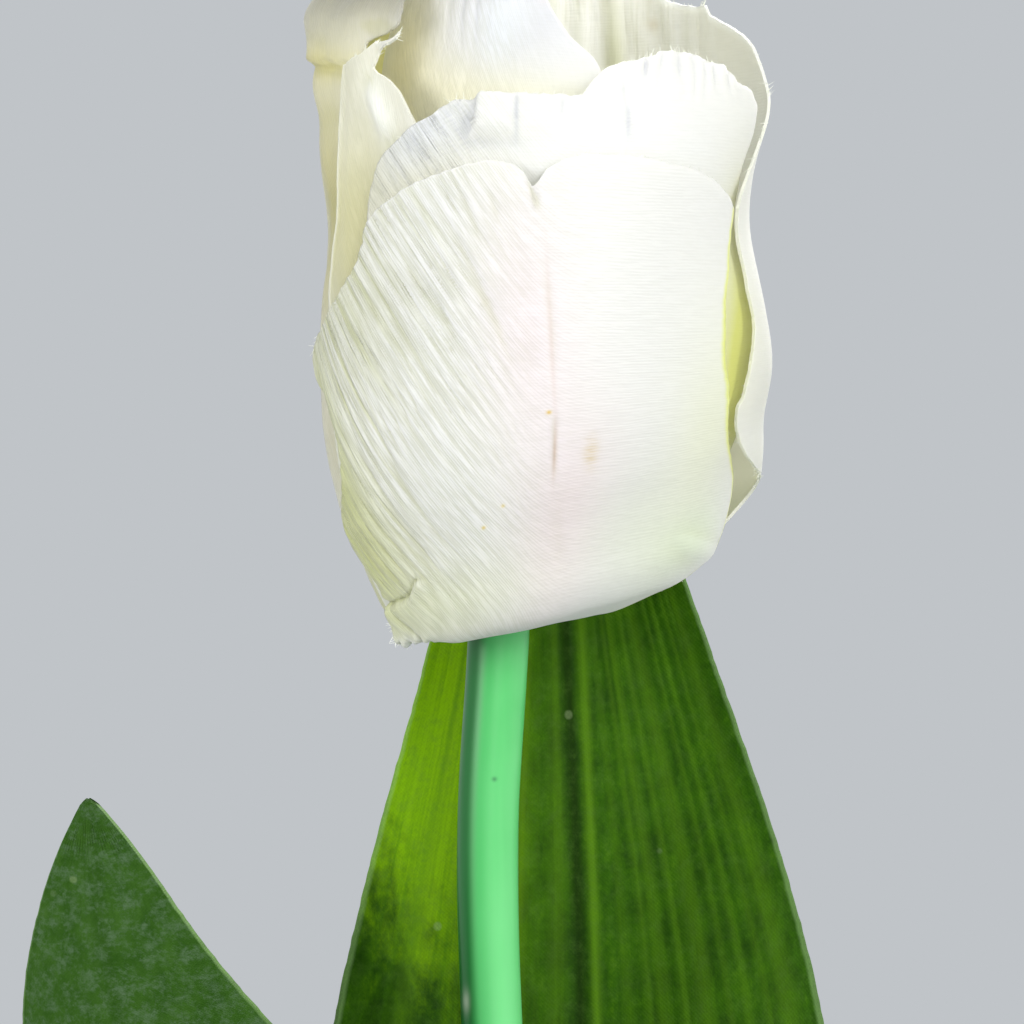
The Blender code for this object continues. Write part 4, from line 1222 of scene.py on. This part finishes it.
def stemFinish():
    # dyed moulded plastic: faint streaks along it, one dark speck and one pale scuff
    finish = surface("stem plastic")
    where = finish.place()
    streak = finish.noise(where, 220, 3, 0.55, (1, 1, 0.06))
    cloud = finish.noise(where, 45, 3)
    colour = finish.mix(finish.step(streak * 0.6 + cloud * 0.4, 0.3, 0.7), plastic["base"], plastic["light"])
    colour = finish.mix((1 - finish.step(cloud, 0.3, 0.5)) * 0.25, colour, plastic["deep"])
    # painted shade: the plastic is drawn darker down its left side, where less light falls, darkest at the
    # edge
    _, left, _ = finish.uv("around")
    place = left * 2 - 1 + (streak - 0.5) * 0.06
    colour = finish.mix(finish.step(place, -0.45, 0.55) * 0.75, colour, plastic["deep"])
    colour = finish.mix(finish.step(place, 0.30, 0.72) * 0.95, colour, plastic["paintedLeftShade"])
    height = finish.part(where, 2) * 1000
    side = finish.part(where, 0) * 1000
    for middle, size, tint in plastic["specks"]:
        colour = finish.mix(finish.spot(side, height, middle, size) * 0.7, colour, tint)
    scratch = finish.noise(where, 700, 2, 0.5, (1, 1, 0.12))
    normal = finish.bump(streak * 0.7 + scratch * 0.3, 0.12, 0.0002)
    finish.set(
        Base_Color=colour, Roughness=plastic["rough"] + (scratch - 0.5) * 0.14, Normal=normal,
        Specular_IOR_Level=0.5, Subsurface_Weight=0.12, Subsurface_Scale=0.002,
        Subsurface_Radius=(0.4, 1.0, 0.5),
    )
    return finish.owner


def makeStem():
    foot = stemRoute()[0][0]
    heights = np.linspace(foot, stem["top"], stem["rows"])
    route = stemPoints(heights)
    sides = stem["sides"]
    turn = np.radians(np.arange(sides) * 360 / sides)
    rng = np.random.default_rng(40)
    # the tube is a little uneven, and has the faint seam of its mould on both sides
    ripple = 0.035 * unevenness(turn[None] * 6, heights[:, None], 18, 41)
    seam = 0.05 * (hill(turn, 1.2, 0.05) + hill(turn, 1.2 + math.pi, 0.05))
    uneven = ripple + seam + rng.uniform(0, 1e-4)
    outside = rings(route, stem["radius"] - 0.03, sides, uneven)
    bore = rings(route, stem["bore"], sides)
    points = np.concatenate([bore[:1], outside, bore[::-1]])
    around = np.stack([np.cos(turn) / 2 + 0.5, np.sin(turn) / 2 + 0.5], -1)
    around = np.broadcast_to(around, (len(points), sides, 2))
    tube = gridMesh("tube", points, {"around": np.ascontiguousarray(around)}, True)
    dress(joined("stem_tube", [tube]), stemFinish(), "stem_plastic", "stem")


holder = {"dark": shade(150, 176, 92), "light": shade(172, 194, 118), "rough": 0.42}
wire = {"dark": shade(150, 152, 154), "light": shade(196, 197, 198), "rough": 0.28}


def holderFinish():
    finish = surface("holder plastic")
    where = finish.place()
    cloud = finish.noise(where, 180, 4, 0.6)
    colour = finish.mix(cloud, holder["dark"], holder["light"])
    pits = finish.noise(where, 900, 2)
    normal = finish.bump(pits, 0.15, 0.0001)
    finish.set(Base_Color=colour, Roughness=holder["rough"] + pits * 0.14, Normal=normal)
    return finish.owner


def wireFinish():
    finish = surface("stem wire steel")
    where = finish.place()
    drawn = finish.noise(where, 1200, 2, 0.5, (1, 1, 0.03))
    colour = finish.mix(drawn, wire["dark"], wire["light"])
    normal = finish.bump(drawn, 0.1, 0.0001)
    finish.set(Base_Color=colour, Metallic=1.0, Roughness=wire["rough"] + drawn * 0.16, Normal=normal)
    return finish.owner


stamens = {
    "count": 6,
    "ring": 3.9,
    "spread": 14.0,
    "filament": 18.0,
    "anther": 9.0,
    "pistil": 22.0,
    "base": 11.3,
    # how thick a stamen is along its length
    "shape": [
        (0, 0.8), (0.3, 0.62), (0.64, 0.5), (0.68, 0.62), (0.72, 1.1), (0.86, 1.2), (0.95, 0.9), (1, 0.12),
    ],
    "dark": shade(196, 190, 84),
    "light": shade(214, 208, 118),
    "anthers": shade(150, 118, 34),
    "powder": shade(232, 206, 96),
    # the heights between which the filaments turn into the darker anthers
    "turnsDark": (309.5, 311.5),
    "rough": 0.55,
}


def stamenFinish():
    # yellow-green moulding with darker, powdery anthers
    finish = surface("stamen plastic")
    where = finish.place()
    height = finish.part(where, 2) * 1000
    cloud = finish.noise(where, 260, 4, 0.6)
    colour = finish.mix(cloud, stamens["dark"], stamens["light"])
    colour = finish.mix(finish.step(height, *stamens["turnsDark"]) * 0.85, colour, stamens["anthers"])
    powder = finish.noise(where, 1600, 2, 0.6)
    colour = finish.mix(powder * 0.35, colour, stamens["powder"])
    normal = finish.bump(powder, 0.3, 0.0002)
    finish.set(Base_Color=colour, Roughness=stamens["rough"] + powder * 0.25, Normal=normal)
    return finish.owner


def makeStamens():
    x, y, z = bloom["middle"]
    middle = np.array((x + bloom["stemOffset"], y, z + stamens["base"]))
    top = stamens["pistil"]
    profile = [
        (0.01, 0), (5.6, 0), (5.85, 0.5), (5.9, 1.4), (5.6, 2.2), (4.2, 2.4), (3.0, 2.7), (2.6, 3.6),
        (2.5, 4.5), (2.2, 8), (2.05, 12), (1.95, 16), (1.95, top - 4.5), (2.1, top - 3.6), (2.55, top - 2.6),
        (2.75, top - 1.6), (2.5, top - 0.7), (1.6, top - 0.15), (0.6, top - 0.3), (0.01, top - 0.5),
    ]
    fine = measured(profile)
    profile = along(fine, np.linspace(0, fine[-1, 0], 110))
    turn = np.radians(np.arange(48) * 7.5)
    # the pistil is three-sided, and its head opens in three lobes
    height = profile[:, 1:]
    lobes = 1 + (0.10 * ease(3, 6, height) + 0.16 * ease(top - 4, top - 2, height)) * np.cos(3 * turn)
    radius = np.maximum(profile[:, :1], 0.0) * lobes
    points = np.stack([radius * np.cos(turn), radius * np.sin(turn), height + 0 * turn], -1) + middle
    pieces = [gridMesh("pistil", points, closedAcross=True)]
    reach = np.linspace(0, 1, 60)
    thick = along(stamens["shape"], reach)
    ribbed = np.abs(np.cos(np.radians(np.arange(16) * 22.5)))
    split = 1 - 0.22 * ease(0.68, 0.74, reach)[:, None] * ribbed
    total = stamens["filament"] + stamens["anther"]
    for index in range(stamens["count"]):
        across, back = compass(360 * index / stamens["count"] + 20)
        lean = math.radians(stamens["spread"])
        way = np.array((across * math.sin(lean), back * math.sin(lean), math.cos(lean)))
        start = middle + np.array((across * stamens["ring"], back * stamens["ring"], 1.0))
        bow = 0.35 * np.sin(math.pi * reach)[:, None] * np.array((-back, across, 0))
        bow = bow if index % 2 else -bow
        route = start + way * total * reach[:, None] + bow
        grid = rings(route, 0.0, 16, thick[:, None] * split)
        pieces.append(gridMesh(f"stamen{index}", grid, closedAcross=True))
    dress(joined("pistil_and_stamens", pieces), stamenFinish(), "stamen_plastic", "stamens")


makeStem()
makeStamens()


def refinish(node, material):
    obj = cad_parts[node]
    obj.data.materials.clear()
    obj.data.materials.append(material)


refinish("petal_holder", holderFinish())
refinish("stem_wire", wireFinish())
print("stem, holder and stamens made")


# the vase

vase = {
    "height": 140.0,
    "wall": 3.6,
    "rim": 19.0,
    "sides": 144,
    "shape": [
        (0, 26.0), (4, 27.7), (26, 34.2), (52, 37.5), (78, 33.0), (98, 22.4), (108, 17.8), (118, 15.6),
        (130, 16.4), (140, 19.0),
    ],
    # (radius, height) points of the foot's underside and of the floor inside
    "foot": [
        (0.01, 0.9), (12, 0.9), (20.5, 0.8), (21.4, 0.5), (21.9, 0.1), (22.4, 0.0), (25.0, 0.0), (25.8, 0.35),
        (26.35, 1.2),
    ],
    "floor": [(22.6, 7.4), (20.5, 6.5), (17.5, 6.1), (12, 6.0), (6, 6.0), (0.01, 6.0)],
    "glaze": shade(190, 186, 175),
    "warm": shade(174, 167, 152),
    "clay": shade(158, 138, 112),
    "speckle": shade(96, 82, 66),
    "streak": shade(202, 200, 192),
    "grit": shade(140, 120, 96),
    "rough": 0.24,
    "coat": 0.35,
}


def vaseFinish():
    # a satin glaze over pale clay: soft pooling, iron specks, and a bare foot
    finish = surface("vase glaze")
    where = finish.place()
    height = finish.part(where, 2) * 1000
    cloud = finish.noise(where, 22, 5, 0.55)
    throw = finish.noise(where, 90, 2, 0.5, (0.12, 0.12, 1))
    colour = finish.mix(finish.step(cloud, 0.35, 0.7), vase["glaze"], vase["warm"])
    colour = finish.mix(throw * 0.3, colour, vase["streak"])
    specks, pick = finish.cells(where, 420)
    rare = finish.step(finish.part(pick, 1), 0.82, 0.9)
    speckMask = (1 - finish.step(specks, 0.12, 0.3)) * rare * (0.3 + cloud * 0.7)
    colour = finish.mix(speckMask * 0.75, colour, vase["speckle"])
    colour = finish.mix(finish.step(height, 137.6, 139.6) * 0.45, colour, vase["clay"])
    line = height + (cloud - 0.5) * 1.6
    bare = 1 - finish.step(line, 2.6, 3.2)
    grit = finish.noise(where, 1500, 3, 0.6)
    clay = finish.mix(grit, vase["clay"], vase["grit"])
    colour = finish.mix(bare, colour, clay)
    normal = finish.bump(throw, 0.18, 0.0009)
    normal = finish.bump(grit * (0.15 + bare * 0.85), 0.22, 0.0002, normal)
    finish.set(
        Base_Color=colour, Roughness=vase["rough"] + bare * 0.5 + cloud * 0.12, Normal=normal,
        Specular_IOR_Level=0.5, Coat_Weight=(1 - bare) * vase["coat"], Coat_Roughness=0.14,
    )
    return finish.owner


def makeVase():
    rim, wall, height = vase["rim"], vase["wall"], vase["height"]
    up = np.linspace(2.2, 136.5, 150)
    radius = along(vase["shape"], up)
    # throwing rings stand a little proud of the wall, closer together up the neck
    proud = 0.11 * np.sin(2 * math.pi * up / 5.2 + 0.9 * np.sin(up / 9)) * ease(4, 18, up)
    outside = np.column_stack([radius + proud * (1 - ease(118, 134, up)) - 0.10, up])
    half = wall / 2 - 0.25
    lip = [
        (rim - wall / 2 + half * math.cos(turn), height - half * 0.9 + half * 0.9 * math.sin(turn))
        for turn in np.linspace(0.0, math.pi, 15)
    ]
    downward = np.linspace(136.5, 9.0, 90)
    inside = np.column_stack([along(vase["shape"], downward) - wall, downward])
    profile = np.concatenate([vase["foot"], outside, lip, inside, vase["floor"]])
    body = turnedGrid("body", profile, vase["sides"])
    dress(joined("thrown_vase", [body]), vaseFinish(), "vase_glaze", "vase")


makeVase()
print("vase made")


# the floor, the light and the sky

studio = {
    "sky": shade(192, 196, 200),
    "room": (0.93, 0.965, 1.0, 1),
    "roomLight": 0.62,
    "floorRadius": 0.95,
    "floorRings": 24,
    "floorDepth": 0.15,
    "floor": shade(168, 171, 174),
    "floorGrain": shade(160, 163, 166),
    "fadeFrom": 0.35,
    "aim": (-0.012, 0.01, 0.25),
    # name: place in metres, size, watts, colour
    "lights": {
        "key": ((0.72, -0.55, 0.72), 0.4, 5.0, (1.0, 0.98, 0.98)),
        "front": ((0.14, -0.95, 0.55), 0.45, 3.1, (1.0, 0.99, 1.0)),
        "left": ((-0.85, -0.50, 0.50), 0.5, 5.5, (1.0, 0.99, 1.0)),
        "back": ((0.20, 0.75, 0.90), 0.5, 11.0, (1.0, 0.99, 0.99)),
    },
}


def makeStudio():
    scene = bpy.context.scene
    scene.view_settings.view_transform = "Standard"
    # the room lights the object less brightly than the plain backdrop looks
    sky = Finish(bpy.data.worlds.new("studio"), "Background", "World Output")
    sky.set(Color=studio["room"], Strength=studio["roomLight"])
    sky.blend(sky.node("LightPath"), "Background", {"Color": studio["sky"]})
    scene.world = sky.owner
    aim = Vector(studio["aim"])
    for name, (place, size, power, colour) in studio["lights"].items():
        data = bpy.data.lights.new(name, "AREA")
        data.shape, data.size, data.energy, data.color = "DISK", size, power, colour
        obj = bpy.data.objects.new(name, data)
        obj.location = place
        obj.rotation_euler = (aim - Vector(place)).to_track_quat("-Z", "Y").to_euler()
        obj.visible_camera = False
        scene.collection.objects.link(obj)
    radii = np.linspace(studio["floorRadius"], 0.0005, studio["floorRings"]) * 1000
    floor = turnedGrid("floor", np.column_stack([radii, 0 * radii - studio["floorDepth"]]), 96)
    finish = surface("floor")
    where = finish.place()
    out = finish.node("VectorMath", {"operation": "LENGTH"}, {0: where}, output=1)
    grain = finish.noise(where, 60, 3)
    finish.set(Base_Color=finish.mix(grain * 0.3, studio["floor"], studio["floorGrain"]), Roughness=0.7)
    finish.blend(finish.step(out, studio["fadeFrom"], studio["floorRadius"]), "BsdfTransparent", {})
    floor.data.materials.append(finish.owner)


makeStudio()
print("studio lit")
